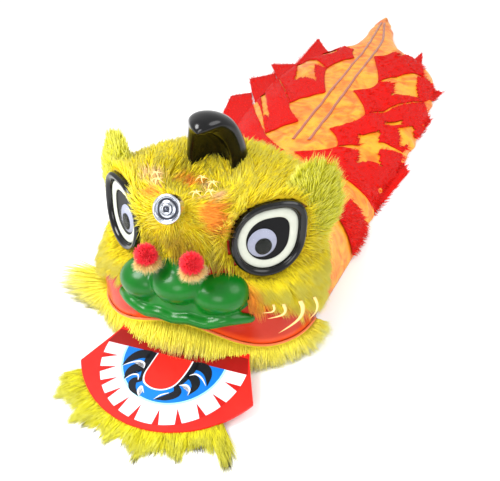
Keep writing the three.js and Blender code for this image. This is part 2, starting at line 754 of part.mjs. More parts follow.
// Beard: a fur strip under the front edge of the jaw board, spread on the surface
function beardSolid() {
  const radius = (125 * 125 + 71 * 71) / (2 * 71);
  const centre = BOARD_FRONT_Y + radius;
  const sections = [];
  const locks = [];
  for (let at = BEARD_FROM; at <= BEARD_TO; at += 8) {
    const ray = vec(Math.sin(rad(at)), -Math.cos(rad(at)), 0);
    const edge = vec(0, centre, 0).addScaledVector(ray, radius);
    const under = jawHeight(edge.y) - BOARD_THICK - GAP;
    const profile = [
      [-9, 0], [7, 0], [14, 3], [10, Math.min(under + 2, 12)],
      [3, under + 1], [1, under - 0.4], [-9, under - 1.2],
    ];
    sections.push(profile.map(([out, z]) => edge.clone().addScaledVector(ray, out).setZ(Math.max(z, 0))));
  }
  for (let at = BEARD_FROM; at <= BEARD_TO; at += 8) {
    const ray = vec(Math.sin(rad(at)), -Math.cos(rad(at)), 0);
    const root = vec(0, centre, 4.5).addScaledVector(ray, radius + 6);
    const length = 26 + 7 * Math.sin(at * 1.3);
    locks.push(lock(root, ray.clone().setZ(-0.08), length - 2, 15));
  }
  return solidLoft(sections)
    .add(joined(locks))
    .subtract(box(-400, 400, -500, 0, -30, 0));
}

// Body cloth

// Where the shell's outside meets the plane of its rear rim, by height share
function rimPoint(share, out) {
  const height = (z) => {
    const y = REAR_Y + REAR_SLOPE * z;
    const s = sectionAt(z);
    const ratio = Math.abs((y - s.mid) / (s.back - s.mid + out)) ** HEAD_BACK_SQUARE;
    return ratio < 1 ? (s.half + out) * (1 - ratio) ** (1 / HEAD_BACK_SQUARE) : -1;
  };
  const angle = share * Math.PI;
  let low = 0;
  let high = 320;
  for (let i = 0; i < 40; i += 1) {
    const r = (low + high) / 2;
    const z = r * Math.sin(angle);
    if (height(z) > Math.abs(r * Math.cos(angle))) low = r;
    else high = r;
  }
  const z = low * Math.sin(angle);
  return vec(-low * Math.cos(angle), REAR_Y + REAR_SLOPE * z, z);
}

function clothArch(section, share, thin) {
  const angle = share * Math.PI;
  const across = -Math.cos(angle);
  const up = Math.sin(angle);
  const swing = Math.sin(9 * across + section.y * 0.031);
  const wave = section.ripple * swing * up * Math.min(1, 2 * Math.abs(across));
  const half = section.half - thin;
  const rise = section.rise - thin + wave;
  return vec(
    section.shift + half * Math.sign(across) * Math.abs(across) ** 0.8,
    section.y,
    rise * up ** 1.15,
  );
}

function clothGrid(thin) {
  const shares = Array.from({ length: CLOTH_COLUMNS + 1 }, (_, k) => k / CLOTH_COLUMNS);
  const rim = shares.map((share) => rimPoint(share, -thin).add(vec(0, GAP + 0.2, 0)));
  const first = shares.map((share) => clothArch(CLOTH_SECTIONS[0], share, thin));
  const rows = [rim];
  for (const t of [0.33, 0.66]) {
    rows.push(rim.map((p, k) => {
      const q = first[k];
      const rise = Math.sin(Math.PI * t / 2);
      return vec(mix(p.x, q.x, t), mix(p.y, q.y, t), mix(p.z, q.z, rise * t));
    }));
  }
  for (const section of CLOTH_SECTIONS) rows.push(shares.map((share) => clothArch(section, share, thin)));
  return rows;
}

const bodyCloth = solidOf(outward(sheetBetween(clothGrid(0), clothGrid(CLOTH_THICK))));

// The space that the front of the cloth takes, with the air round it
function clothRoom() {
  const rows = 5;
  return solidOf(outward(sheetBetween(clothGrid(-GAP).slice(0, rows), clothGrid(30).slice(0, rows))));
}

// Height of the cloth's upper face at a place
const clothRows = clothGrid(0).slice(3);

function clothHeight(x, y) {
  let i = 0;
  while (i < clothRows.length - 2 && y > clothRows[i + 1][0].y) i += 1;
  const place = vec(x, y, 0);
  const flat = (p) => vec(p.x, p.y, 0);
  for (let k = 0; k < CLOTH_COLUMNS; k += 1) {
    const [a, b] = clothRows[i].slice(k, k + 2);
    const [d, c] = clothRows[i + 1].slice(k, k + 2);
    for (const corners of [[a, b, c], [a, c, d]]) {
      const share = new THREE.Triangle(...corners.map(flat)).getBarycoord(place, vec(0, 0, 0));
      if (share && Math.min(share.x, share.y, share.z) >= -1e-6) {
        return share.x * corners[0].z + share.y * corners[1].z + share.z * corners[2].z;
      }
    }
  }
  return 0;
}

function spineAt(y) {
  const sections = CLOTH_SECTIONS;
  let i = 0;
  while (i < sections.length - 2 && y > sections[i + 1].y) i += 1;
  const t = (y - sections[i].y) / (sections[i + 1].y - sections[i].y);
  return mix(sections[i].shift, sections[i + 1].shift, t);
}

// The cloth's highest point near a place, so that a stiff row clears it all round
function seatHeight(x, y) {
  let top = 0.5;
  for (const dx of [-10, 0, 10]) {
    for (const dy of [-14, 0, 14]) top = Math.max(top, clothHeight(x + dx, y + dy));
  }
  return top + PLUSH_SEAT;
}

const overCloth = solidOf(outward(sheetBetween(
  clothGrid(-GAP).slice(3, -3),
  clothGrid(6).slice(3, -3),
)));

// One plush row between two partings, with a point towards the spine and one beyond the edge
function plushRow(ahead, behind, point) {
  const steps = 4;
  const columns = 5;
  const neckStep = 2;
  const tipStep = 3;
  const along = (parting, q) => vec(
    mix(parting.inner, parting.outer, q),
    mix(parting.from, parting.to, q),
    0,
  );
  const bulge = (q, step, x, y) => vec(x, y, 0).sub(along(ahead, q).lerp(along(behind, q), step / steps));
  const neck = bulge(0, neckStep, point.neck, point.at);
  const tip = bulge(1, tipStep, point.tip, point.to);
  const rise = (r, peak) => (r <= peak ? r / peak : (steps - r) / (steps - peak));
  const lower = [];
  const upper = [];
  for (let r = 0; r <= steps; r += 1) {
    const t = r / steps;
    const low = [];
    const high = [];
    for (let c = 0; c <= columns; c += 1) {
      const q = c / columns;
      const bay = Math.sin(Math.PI * q);
      const inset = mix(PLUSH_PARTING + ahead.open * bay, -PLUSH_PARTING - behind.open * bay, t) / 2;
      const p = along(ahead, q).lerp(along(behind, q), t)
        .addScaledVector(neck, (1 - q) ** 3 * rise(r, neckStep) ** 1.5)
        .addScaledVector(tip, q ** 3 * rise(r, tipStep));
      p.y += inset;
      p.z = seatHeight(p.x, p.y);
      const swell = 0.35 + 0.65 * bay * Math.sin(Math.PI * t);
      low.push(p);
      high.push(p.clone().setZ(p.z + PLUSH_THICK * swell));
    }
    lower.push(low);
    upper.push(high);
  }
  return solidOf(outward(sheetBetween(upper, lower))).subtract(overCloth);
}

// A small plush patch low on the left side of the cloth, just behind the head
function sidePatch() {
  const grid = (lift) => {
    const rows = [];
    for (let r = 0; r <= 4; r += 1) {
      const y = mix(SIDE_PATCH.from, SIDE_PATCH.to, r / 4);
      rows.push(Array.from({ length: 6 }, (_, c) => {
        const share = 1 - mix(SIDE_PATCH.low, SIDE_PATCH.high, c / 5);
        const i = y > CLOTH_SECTIONS[1].y ? 1 : 0;
        const [a, b] = [CLOTH_SECTIONS[i], CLOTH_SECTIONS[i + 1]];
        const t = (y - a.y) / (b.y - a.y);
        const p = clothArch(a, share, 0).lerp(clothArch(b, share, 0), t);
        const away = vec(1, 0, 0.9).normalize();
        const swell = lift > PATCH_SEAT ? Math.sin(Math.PI * (0.15 + 0.7 * r / 4)) : 1;
        return p.addScaledVector(away, PATCH_SEAT + (lift - PATCH_SEAT) * swell).add(vec(0, 10 * c / 5, 1));
      }));
    }
    return rows;
  };
  return solidOf(outward(sheetBetween(grid(PATCH_SEAT + PLUSH_THICK), grid(PATCH_SEAT))));
}

function spineRibbon(side) {
  const lower = [];
  const upper = [];
  const halfWidth = 3;
  const between = CLOTH_SECTIONS.map((section) => section.y)
    .filter((y) => y > RIBBON_FROM && y < RIBBON_TO);
  const places = [RIBBON_FROM, ...between, RIBBON_TO];
  for (const y of places) {
    const narrow = THREE.MathUtils.clamp((1455 - y) / 300, 0.3, 1);
    const line = [-halfWidth, halfWidth].map((dx) => spineAt(y) + side * RIBBON_OFFSET * narrow + dx);
    const seats = line.map((x) => Math.max(clothHeight(x, y), 1) + 1.2);
    lower.push(line.map((x, k) => vec(x, y, seats[k])));
    upper.push(line.map((x, k) => vec(x, y, seats[k] + 1.2)));
  }
  return solidOf(outward(sheetBetween(upper, lower)));
}

// Mirror on the forehead

function mirrorTurned(profile) {
  const geometry = new THREE.LatheGeometry(profile.map(([r, h]) => new THREE.Vector2(r, h)), 14);
  geometry.rotateX(Math.PI / 2);
  geometry.rotateX(rad(90 - MIRROR_TILT));
  geometry.translate(...MIRROR_CENTRE);
  return solidOf(geometry);
}

const mirrorDisc = mirrorTurned([
  [0, -12], [MIRROR_RADIUS - 2, -12], [MIRROR_RADIUS, -10], [MIRROR_RADIUS, 1],
  [MIRROR_RADIUS - 2, 2.4], [MIRROR_RADIUS - 5, 1], [0, 1],
]);
const mirrorBoss = mirrorTurned([
  [0, 1.3], [6.5, 1.3], [6.5, 2.6], [4.6, 3.4], [3, 2.7], [0, 4.4],
]);
const mirrorRoom = mirrorTurned([
  [0, -12 - GAP], [MIRROR_RADIUS + GAP, -12 - GAP], [MIRROR_RADIUS + GAP, 30], [0, 30],
]);

// The assembly

const assembly = new THREE.Group();
assembly.name = 'lion_head';

function addPiece(name, solid, colour, roughness, metalness = 0) {
  const material = new THREE.MeshStandardMaterial({ color: colour, roughness, metalness });
  const mesh = new THREE.Mesh(geometryOf(solid), material);
  mesh.name = name;
  assembly.add(mesh);
  return mesh;
}

function addPair(name, solid, colour, roughness, metalness = 0) {
  addPiece(`${name}_left`, solid, colour, roughness, metalness);
  addPiece(`${name}_right`, mirrored(solid), colour, roughness, metalness);
}

addPiece('head_shell', headShell.subtract(mirrorRoom), COLOURS.shell, 0.35);
addPiece('crown_fur', crownFur.subtract(mirrorRoom), COLOURS.fur, 0.95);
addPair('cheek_fur', cheekFur, COLOURS.fur, 0.95);
addPair('brow_flare', brow, COLOURS.brow, 0.95);

addPair('eye_frame', eyeSolid([
  { scale: 1, grow: 0, depth: -EYE_SEAT + GAP },
  { scale: 1, grow: 0, depth: -2 },
  { scale: 1, grow: -2.5, depth: 1.5 },
  { scale: 0.86, grow: 0, depth: 1 },
  { scale: 0.8, grow: 0, depth: -3 },
]).subtract(eyePrism(0.8, 0, -EYE_SEAT - 5, 20)), COLOURS.black, 0.15);
addPair('eye_field', eyePrism(0.8, -GAP, -EYE_SEAT + GAP, -6), COLOURS.black, 0.2);
addPair('eye_ring', eyePrism(0.8, -GAP, -6 + GAP, -4.2)
  .subtract(eyePrism(0.57, 0, -10, 10)), COLOURS.cream, 0.3);
addPair('wiggle_base', eyeTurned([
  [0, -6 + GAP], [WIGGLE_RADIUS, -6 + GAP], [WIGGLE_RADIUS, -4.4], [0, -4.4],
], 12, [-7.5, 0]), COLOURS.white, 0.4);
addPair('wiggle_pupil', eyeTurned([
  [0, -4.1], [11.5, -4.1], [11.5, -3], [0, -3],
], 10, [-6.5, -5]), COLOURS.black, 0.3);
addPair('wiggle_lens', eyeTurned([
  [WIGGLE_RADIUS - 1.2, -4.1], [WIGGLE_RADIUS, -4.1], [WIGGLE_RADIUS - 1, -0.5], [WIGGLE_RADIUS * 0.6, 3],
  [0, 4.6], [0, 3.4], [WIGGLE_RADIUS * 0.58, 1.9], [WIGGLE_RADIUS - 2.2, -1.2], [WIGGLE_RADIUS - 1.2, -4.1],
], 12, [-7.5, 0]), COLOURS.lens, 0.05);

addPiece('horn', horn, COLOURS.black, 0.12);
addPiece('mirror_disc', mirrorDisc, COLOURS.silver, 0.12, 0.9);
addPiece('mirror_boss', mirrorBoss, COLOURS.silver, 0.2, 0.9);
addPiece('nose', nose, COLOURS.green, 0.18);
addPair('pompom', pompomHead, COLOURS.pompom, 0.95);
addPair('pompom_ruff', ruff, COLOURS.ruff, 0.95);
addPiece('lip_piping', lipPiping, COLOURS.piping, 0.5);
addPiece('lip_fringe', lipFringe, COLOURS.fringe, 0.95);
addPiece('jaw_board', jawBoard, COLOURS.board, 0.3);
addPair('jaw_tab', jawTab(), COLOURS.tab, 0.8);
addPiece('beard', beardSolid(), COLOURS.beard, 0.95);

addPiece('body_cloth', bodyCloth, COLOURS.satin, 0.45);
addPiece('spine_ribbon_left', spineRibbon(1), COLOURS.ribbon, 0.5);
addPiece('spine_ribbon_right', spineRibbon(-1), COLOURS.ribbon, 0.5);
addPiece('plush_patch_left', sidePatch(), COLOURS.plush, 0.95);
for (const side of ['left', 'right']) {
  PLUSH_POINTS[side].forEach((point, i) => {
    const [ahead, behind] = PLUSH_PARTINGS[side].slice(i, i + 2);
    addPiece(`plush_row_${side}_${i + 1}`, plushRow(ahead, behind, point), COLOURS.plush, 0.95);
  });
}

// The origin is the middle of the whole, on the surface it lies on
const bounds = new THREE.Box3().setFromObject(assembly);
assembly.position.set(-(bounds.min.x + bounds.max.x) / 2, -(bounds.min.y + bounds.max.y) / 2, -bounds.min.z);

const lion = new THREE.Group();
lion.add(assembly);

export default lion;
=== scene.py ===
import math

import bmesh
import bpy
import numpy as np
from mathutils import Matrix, Vector


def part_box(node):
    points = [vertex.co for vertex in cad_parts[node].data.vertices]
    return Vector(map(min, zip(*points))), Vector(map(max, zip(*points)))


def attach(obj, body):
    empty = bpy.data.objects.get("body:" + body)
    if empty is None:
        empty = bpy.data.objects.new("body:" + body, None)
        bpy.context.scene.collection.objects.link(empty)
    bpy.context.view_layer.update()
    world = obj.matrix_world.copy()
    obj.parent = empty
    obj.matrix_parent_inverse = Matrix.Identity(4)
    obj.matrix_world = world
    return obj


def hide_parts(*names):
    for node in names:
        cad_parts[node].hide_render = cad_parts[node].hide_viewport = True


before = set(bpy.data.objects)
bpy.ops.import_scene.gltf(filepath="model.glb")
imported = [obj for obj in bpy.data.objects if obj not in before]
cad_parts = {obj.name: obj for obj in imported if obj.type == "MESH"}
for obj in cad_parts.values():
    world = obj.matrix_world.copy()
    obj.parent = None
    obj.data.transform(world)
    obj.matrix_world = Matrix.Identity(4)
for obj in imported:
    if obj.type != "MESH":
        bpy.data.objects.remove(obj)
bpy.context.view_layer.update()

# Where the lion lies. Sizes below are millimetres from the middle of the lion's face plane, with the
# lion looking along -Y and its own left on +X. The horn gives the middle and the jaw board the front.
MM = 0.001
horn_low, horn_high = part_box("horn")
board_low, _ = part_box("jaw_board")
BOARD_FRONT = -319
origin = np.array([(horn_low.x + horn_high.x) / 2, board_low.y - BOARD_FRONT * MM, 0])


def in_row(points):
    return np.asarray(points, float) * MM + origin


# Camera: at the height of a standing adult, in front of the lion and to its left.
CAMERA_AT = (320, -762, 657)
CAMERA_TURN, CAMERA_DROP, CAMERA_ROLL = 20.51, 35.16, -1.87
LENS_SHARE = 650 / 500              # focal length as a share of the picture's width
SENSOR = 36
CLIP_NEAR, CLIP_FAR = 0.02, 30

turn, drop, roll = (math.radians(a) for a in (CAMERA_TURN, CAMERA_DROP, CAMERA_ROLL))
back = Vector((math.sin(turn) * math.cos(drop), -math.cos(turn) * math.cos(drop), math.sin(drop)))
level = Vector((math.cos(turn), math.sin(turn), 0))
upright = back.cross(level)
across = level * math.cos(roll) + upright * math.sin(roll)
upwards = upright * math.cos(roll) - level * math.sin(roll)


def add_object(name, data):
    made = bpy.data.objects.new(name, data)
    bpy.context.scene.collection.objects.link(made)
    return made


camera_data = bpy.data.cameras.new("camera")
camera_data.sensor_width = SENSOR
camera_data.lens = LENS_SHARE * SENSOR
camera_data.clip_start, camera_data.clip_end = CLIP_NEAR, CLIP_FAR
camera = add_object("camera", camera_data)
camera.matrix_world = Matrix.Translation(Vector(in_row(CAMERA_AT))) @ Matrix(
    (across, upwards, back)).transposed().to_4x4()
bpy.context.scene.camera = camera

# The plain transform shows the dyed colours as they are set below.
bpy.context.scene.view_settings.view_transform = "Standard"


# Studio: a white room, a broad soft lamp over the lion's right and a weaker one by the camera.


class Value:
    """A socket of a node tree that can be used as a number in an expression."""

    def __init__(self, maker, socket):
        self.maker, self.socket = maker, socket

    def output(self, name):
        return Value(self.maker, self.socket.node.outputs[name])


def arithmetic(operation, swapped):
    def combine(own, other):
        first, second = (other, own) if swapped else (own, other)
        return own.maker.node("ShaderNodeMath", {"operation": operation}, {0: first, 1: second})
    return combine


for method, operation in [("add", "ADD"), ("sub", "SUBTRACT"), ("mul", "MULTIPLY"), ("truediv", "DIVIDE")]:
    setattr(Value, f"__{method}__", arithmetic(operation, False))
    setattr(Value, f"__r{method}__", arithmetic(operation, True))


class NodeMaker:
    """Adds nodes to one tree."""

    def __init__(self, tree):
        self.tree = tree
        tree.nodes.clear()

    def node(self, kind, settings=None, sockets=None, output=0):
        made = self.tree.nodes.new(kind)
        for name, value in (settings or {}).items():
            setattr(made, name, value)
        for key, value in (sockets or {}).items():
            if isinstance(value, Value):
                self.tree.links.new(value.socket, made.inputs[key])
            elif value is not None:
                made.inputs[key].default_value = value
        return Value(self, made.outputs[output] if made.outputs else None)

    def vector(self, operation, first, second=None, scale=None, output=0):
        sockets = {0: first, 1: second} if scale is None else {0: first, "Scale": scale}
        return self.node("ShaderNodeVectorMath", {"operation": operation}, sockets, output)


def linear(colour):
    """A colour given from 0 to 255, as light."""
    return tuple(((c / 255 + 0.055) / 1.055) ** 2.4 if c > 10 else c / 255 / 12.92 for c in colour)


def rgba(colour):
    return (*linear(colour), 1)


class Finish(NodeMaker):
    """A material: one Principled shader, with the constants set on its own sockets."""

    def __init__(self, name, **constants):
        self.material = bpy.data.materials.new(name)
        self.material.use_nodes = True
        super().__init__(self.material.node_tree)
        self.shader = self.tree.nodes.new("ShaderNodeBsdfPrincipled")
        out = self.tree.nodes.new("ShaderNodeOutputMaterial")
        self.tree.links.new(self.shader.outputs[0], out.inputs["Surface"])
        for key, value in constants.items():
            self.shader.inputs[key.replace("_", " ")].default_value = value

    def feed(self, name, value):
        self.tree.links.new(value.socket, self.shader.inputs[name])

    def place(self):
        return self.node("ShaderNodeTexCoord", output="Object")

    def painted(self, name, output="Fac"):
        return self.node("ShaderNodeAttribute", {"attribute_name": name}, output=output)

    def noise(self, scale, detail=3, vector=None, roughness=0.5, distortion=0, output=0):
        return self.node("ShaderNodeTexNoise", {}, {
            "Vector": vector or self.place(), "Scale": scale, "Detail": detail,
            "Roughness": roughness, "Distortion": distortion}, output)

    def blend(self, share, first, second, kind="MIX"):
        return self.node("ShaderNodeMix", {"data_type": "RGBA", "blend_type": kind}, {
            "Factor": share, 6: first, 7: second}, 2)

    def step(self, value, low, high):
        """0 below low and 1 above high, smooth between them."""
        return self.node("ShaderNodeMapRange", {"interpolation_type": "SMOOTHSTEP"}, {
            "Value": value, "From Min": low, "From Max": high}, 0)

    def wave(self, direction, scale, distortion):
        """Fine parallel threads."""
        return self.node("ShaderNodeTexWave", {"wave_type": "BANDS", "bands_direction": direction}, {
            "Vector": self.place(), "Scale": scale, "Distortion": distortion}, 1)

    def bump(self, height, distance, strength=1.0, under=None):
        made = self.node("ShaderNodeBump", {}, {
            "Height": height, "Distance": distance, "Strength": strength, "Normal": under})
        self.feed("Normal", made)
        return made


def mottled(name, grain, dark, light, rough=None, dents=None, **constants):
    """A finish that drifts between two shades. Grain is the scale and detail of the drift, rough the least
    roughness, its spread, scale and detail, and dents the scale, distance and strength of a bump."""
    made = Finish(name, **constants)
    made.feed("Base Color", made.blend(made.noise(*grain), rgba(dark), rgba(light)))
    if rough:
        least, spread, *at = rough
        made.feed("Roughness", least + spread * made.noise(*at))
    if dents:
        made.bump(made.noise(*dents[:2]), *dents[2:])
    return made


WORLD_STRENGTH = 0.85
FLOOR_SIZE, FLOOR_UNDER = 30, 0.0004        # metres
world = bpy.data.worlds.new("studio")
world.use_nodes = True
bpy.context.scene.world = world
world.node_tree.nodes["Background"].inputs["Color"].default_value = (1, 1, 1, 1)
world.node_tree.nodes["Background"].inputs["Strength"].default_value = WORLD_STRENGTH


def lamp(name, at, aim, size, watts):
    data = bpy.data.lights.new(name, "AREA")
    data.shape, data.size, data.energy = "DISK", size, watts
    made = add_object(name, data)
    made.location = Vector(in_row(at))
    made.rotation_euler = (Vector(in_row(aim)) - made.location).to_track_quat("-Z", "Y").to_euler()


lamp("over_right", (-900, -700, 1500), (0, 0, 100), 0.9, 34)
lamp("over_left", (1300, 300, 1500), (0, 200, 0), 1.2, 14)
lamp("by_camera", (250, -1500, 900), (0, -100, 100), 0.8, 9)

bpy.ops.mesh.primitive_plane_add(size=FLOOR_SIZE, location=(0, 0, -FLOOR_UNDER))
floor = bpy.context.object
floor.name = "floor"
paper = mottled("paper", (3, 3), (250, 250, 250), (255, 255, 255), Roughness=0.9)
floor.data.materials.append(paper.material)


# Head shell: one moulded plastic shell about 2.6 mm thick, open below and behind, with a mouth opening
# cut out of its front and flat seats for the eyes. It is glossy red over the lips and cheeks, with painted
# shade darkening the sides behind them, and bare off-white plastic at its feet.
HEAD_SECTIONS = [
    # z, half width, front, back, middle, squareness of the front
    (0, 156, -170, 40, -50, 2.8),
    (40, 163, -178, 48, -50, 2.8),
    (85, 166, -181, 50, -50, 2.5),
    (112, 162, -181, 50, -50, 1.75),
    (138, 157, -180, 50, -50, 1.38),
    (176, 156, -178, 50, -50, 1.25),
    (206, 148, -175, 48, -50, 1.38),
    (223, 114, -170, 44, -55, 1.7),
    (235, 70, -158, 26, -62, 2.0),
    (240, 0, -74, -74, -74, 2.0),
]
BACK_SQUARE = 2.2
HEAD_HIGH = 240
MIDDLE_Y = -50                      # the head's upright middle line, from which angles are taken
DISH_Y, DISH_Z, DISH_RADIUS = -80, 305, 92
REAR_Y, REAR_SLOPE = -45, 0.526
SHELL_WALL = 2.6
MOUTH_HALF, MOUTH_TOP, MOUTH_CORNER = 106, 43, 26
EYE_CENTRE = np.array([106, -121, 176.0])
EYE_NORMAL = np.array([0.6127, -0.7787, 0.1349])
EYE_SEAT = 9
LIP_CENTRE_Z, LIP_SIDE_Z, LIP_BEND = 66, 35, 52


def smooth_table(rows, spread):
    """The head's sections against their length up the side, rounded where they meet."""
    z, half, front, rear, middle, square = np.array(rows, float).T
    table = np.stack([z, half, middle - front, rear - middle, middle, square])
    run = np.concatenate([[0], np.cumsum(np.hypot(np.diff(half), np.diff(z)))])
    fine = np.arange(0, run[-1] + 0.5, 1.0)
    dense = np.stack([np.interp(fine, run, row) for row in table])
    pad = 3 * spread
    weights = np.exp(-0.5 * (np.arange(-pad, pad + 1) / spread) ** 2)
    below = 2 * dense[:, :1] - dense[:, pad:0:-1]
    above = dense[:, -2:-pad - 2:-1].copy()
    above[1:4] *= -1
    whole = np.concatenate([below, dense, above], axis=1)
    return fine, np.stack([np.convolve(row, weights / weights.sum(), "valid") for row in whole])


head_run, head_table = smooth_table(HEAD_SECTIONS, 7)
HEAD_LENGTH = head_run[-1]


def head_point(share, degrees, out=0.0):
    """Points of the head, by the share of the way up its side and the angle from its front."""
    z, half, reach_front, reach_back, middle, square = (
        np.interp(np.asarray(share) * HEAD_LENGTH, head_run, row) for row in head_table)
    side, ahead = np.sin(np.radians(degrees)), np.cos(np.radians(degrees))
    grow = out * np.clip(half / 12, 0, 1)
    reach = np.maximum(np.where(ahead > 0, reach_front, reach_back) + grow, 0.05)
    power = np.where(ahead > 0, square, BACK_SQUARE)
    gauge = np.abs(side / np.maximum(half + grow, 0.05)) ** power + np.abs(ahead / reach) ** power
    r = gauge ** (-1 / power)
    x, y = r * side, middle - r * ahead
    z = z + out * (z / HEAD_HIGH) ** 4
    dish = DISH_RADIUS - out
    ceiling = DISH_Z - np.sqrt(np.maximum(dish ** 2 - x ** 2 - (y - DISH_Y) ** 2, 0))
    soft = 2.5
    z = z - soft * np.logaddexp(0, (z - ceiling) / soft)
    return np.stack([x, y, z], -1)


def share_at(z):
    """Share of the way up the side at a height, for the lower two thirds of the head."""
    return np.interp(z, head_table[0][:200], head_run[:200] / HEAD_LENGTH)


def eye_axes(side):
    normal = EYE_NORMAL / np.linalg.norm(EYE_NORMAL)
    across_eye = np.array([-normal[1], normal[0], 0]) / math.hypot(normal[0], normal[1])
    up_eye = np.cross(normal, across_eye)
    turned = np.array([across_eye, up_eye, normal])
    turned[:, 0] *= side
    return turned, EYE_CENTRE * (side, 1, 1)


def eye_radius(u, v, scale=1.0):
    """Radius of the teardrop in the direction of a point of the eye plane."""
    angle = np.degrees(np.arctan2(v - 3, u))
    away = (angle - 40 + 540) % 360 - 180
    return scale * (51 + 12 * np.exp(-(away / 27) ** 2))


def eye_place(points, side):
    """How far points lie outside the eye's teardrop, and their depth along its axis."""
    turned, centre = eye_axes(side)
    u, v, depth = np.moveaxis((points - centre) @ turned.T, -1, 0)
    return np.hypot(u, v - 3) - eye_radius(u, v), depth


def with_eye_seats(points, lift=0.0):
    moved = points.copy()
    for side in (1, -1):
        turned, _ = eye_axes(side)
        outside, depth = eye_place(points, side)
        near = (points[..., 0] * side > 0) & (depth > -70)
        share = np.clip((14 - outside) / 12, 0, 1) * near
        share = share * share * (3 - 2 * share)
        moved += (share * (lift - EYE_SEAT - 0.8 - depth))[..., None] * turned[2]
    return moved


def grid_faces(rows, columns, closed=False):
    r, c = np.meshgrid(np.arange(rows - 1), np.arange(columns if closed else columns - 1), indexing="ij")
    after = (c + 1) % columns
    return np.stack([r * columns + c, r * columns + after, (r + 1) * columns + after,
                     (r + 1) * columns + c], -1).reshape(-1, 4)


def make_mesh(name, points, faces):
    """A mesh object from points of the design frame."""
    mesh = bpy.data.meshes.new(name)
    faces = faces.tolist() if isinstance(faces, np.ndarray) else faces
    mesh.from_pydata(in_row(np.asarray(points).reshape(-1, 3)).tolist(), [], faces)
    mesh.validate()
    mesh.shade_smooth()
    return add_object(name, mesh)


def grid_mesh(name, grid, closed=False):
    return make_mesh(name, grid, grid_faces(*grid.shape[:2], closed))


def edit(thing, *steps):
    """Runs bmesh steps on an object's mesh."""
    bm = bmesh.new()
    bm.from_mesh(thing.data)
    for step in steps:
        step(bm)
    bm.to_mesh(thing.data)
    bm.free()
    return thing


def merge(bm, distance=1e-5):
    bmesh.ops.remove_doubles(bm, verts=bm.verts, dist=distance)


def face_out(bm):
    bmesh.ops.recalc_face_normals(bm, faces=bm.faces)


def apply_modifiers(thing):
    """The evaluated mesh takes the place of the object's own, and its modifiers go."""
    bpy.context.view_layer.update()
    evaluated = thing.evaluated_get(bpy.context.evaluated_depsgraph_get())
    mesh = bpy.data.meshes.new_from_object(evaluated)
    thing.modifiers.clear()
    thing.data = mesh
    return thing


def thicken(thing, wall, offset=-1.0):
    made = thing.modifiers.new("wall", "SOLIDIFY")
    made.thickness, made.offset, made.use_even_offset = wall * MM, offset, True
    return apply_modifiers(thing)


def paint(thing, name, values):
    made = thing.data.attributes.new(name, "FLOAT", "POINT")
    made.data.foreach_set("value", np.asarray(values, np.float32).ravel())


def points_of(thing):
    """The object's points, in the design frame."""
    found = np.zeros(len(thing.data.vertices) * 3, np.float32)
    thing.data.vertices.foreach_get("co", found)
    return (found.reshape(-1, 3) - origin) / MM


def fit(thing, finish, slot, *nodes):
    """The piece takes its finish and stands for its CAD nodes."""
    if finish is not None:
        thing.data.materials.clear()
        thing.data.materials.append(finish.material)
    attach(thing, "root")
    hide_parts(*nodes)
    return thing


def lip_height(degrees):
    bend = np.minimum(np.abs(degrees) / LIP_BEND, 1)
    return LIP_CENTRE_Z + (LIP_SIDE_Z - LIP_CENTRE_Z) * (1 - np.cos(np.pi * bend)) / 2


def smooth_step(value, low, high):
    t = np.clip((np.asarray(value, float) - low) / (high - low), 0, 1)
    return t * t * (3 - 2 * t)


def angle_of(points):
    """Angle from the front of the head, in degrees, as head_point takes it."""
    return np.degrees(np.arctan2(points[..., 0], MIDDLE_Y - points[..., 1]))


SHELL_COLUMNS, SHELL_ROWS, SHELL_TOP = 170, 76, 0.999
MOUTH_REGION = (-105, -110)         # how far forward faces are cut, and how far forward they go
MOUTH_LID = 0.07                    # metres; faces above it are not cut
shares, angles = np.meshgrid(
    np.linspace(0, SHELL_TOP, SHELL_ROWS),
    np.linspace(-180, 180, SHELL_COLUMNS, endpoint=False), indexing="ij")
head_shell = grid_mesh("head_shell_plastic", with_eye_seats(head_point(shares, angles)), closed=True)


def cut_rear_and_mouth(bm):
    everything = list(bm.verts) + list(bm.edges) + list(bm.faces)
    bmesh.ops.bisect_plane(bm, geom=everything, plane_co=in_row((0, REAR_Y, 0)),
                           plane_no=Vector((0, 1, -REAR_SLOPE)).normalized(), clear_outer=True)
    planes = [((side * MOUTH_HALF, 0, 0), (side, 0, 0)) for side in (1, -1)]
    planes.append(((0, 0, MOUTH_TOP), (0, 0, 1)))
    for side in (1, -1):
        for a in (22.5, 45, 67.5):
            ray = np.array([side * math.cos(math.radians(a)), 0, math.sin(math.radians(a))])
            corner = np.array([side * (MOUTH_HALF - MOUTH_CORNER), 0, MOUTH_TOP - MOUTH_CORNER])
            planes.append((corner + MOUTH_CORNER * ray, ray))
    cut_from = in_row((0, MOUTH_REGION[0], 0))[1]
    for place, normal in planes:
        front = [f for f in bm.faces
                 if f.calc_center_median().y < cut_from and f.calc_center_median().z < MOUTH_LID]
        parts = {v for f in front for v in f.verts} | {e for f in front for e in f.edges} | set(front)
        bmesh.ops.bisect_plane(bm, geom=list(parts), plane_co=in_row(place), plane_no=normal)
    inside = []
    for f in bm.faces:
        centre = (np.array(f.calc_center_median()) - origin) / MM
        if centre[1] < MOUTH_REGION[1] and all((centre - np.array(p)) @ np.array(n) < 0 for p, n in planes):
            inside.append(f)
    bmesh.ops.delete(bm, geom=inside, context="FACES")
    merge(bm, 2e-5)
    face_out(bm)


edit(head_shell, cut_rear_and_mouth)
thicken(head_shell, SHELL_WALL)
shell_points = points_of(head_shell)
shell_angle = angle_of(shell_points)
over_lip = shell_points[:, 2] - lip_height(shell_angle)
paint(head_shell, "rim", smooth_step(over_lip, 14, 3) * smooth_step(over_lip, -3, 1))
# Painted shade: the shell's sides behind the cheeks are painted darker.
paint(head_shell, "rear", smooth_step(shell_points[:, 1], -105, -70))

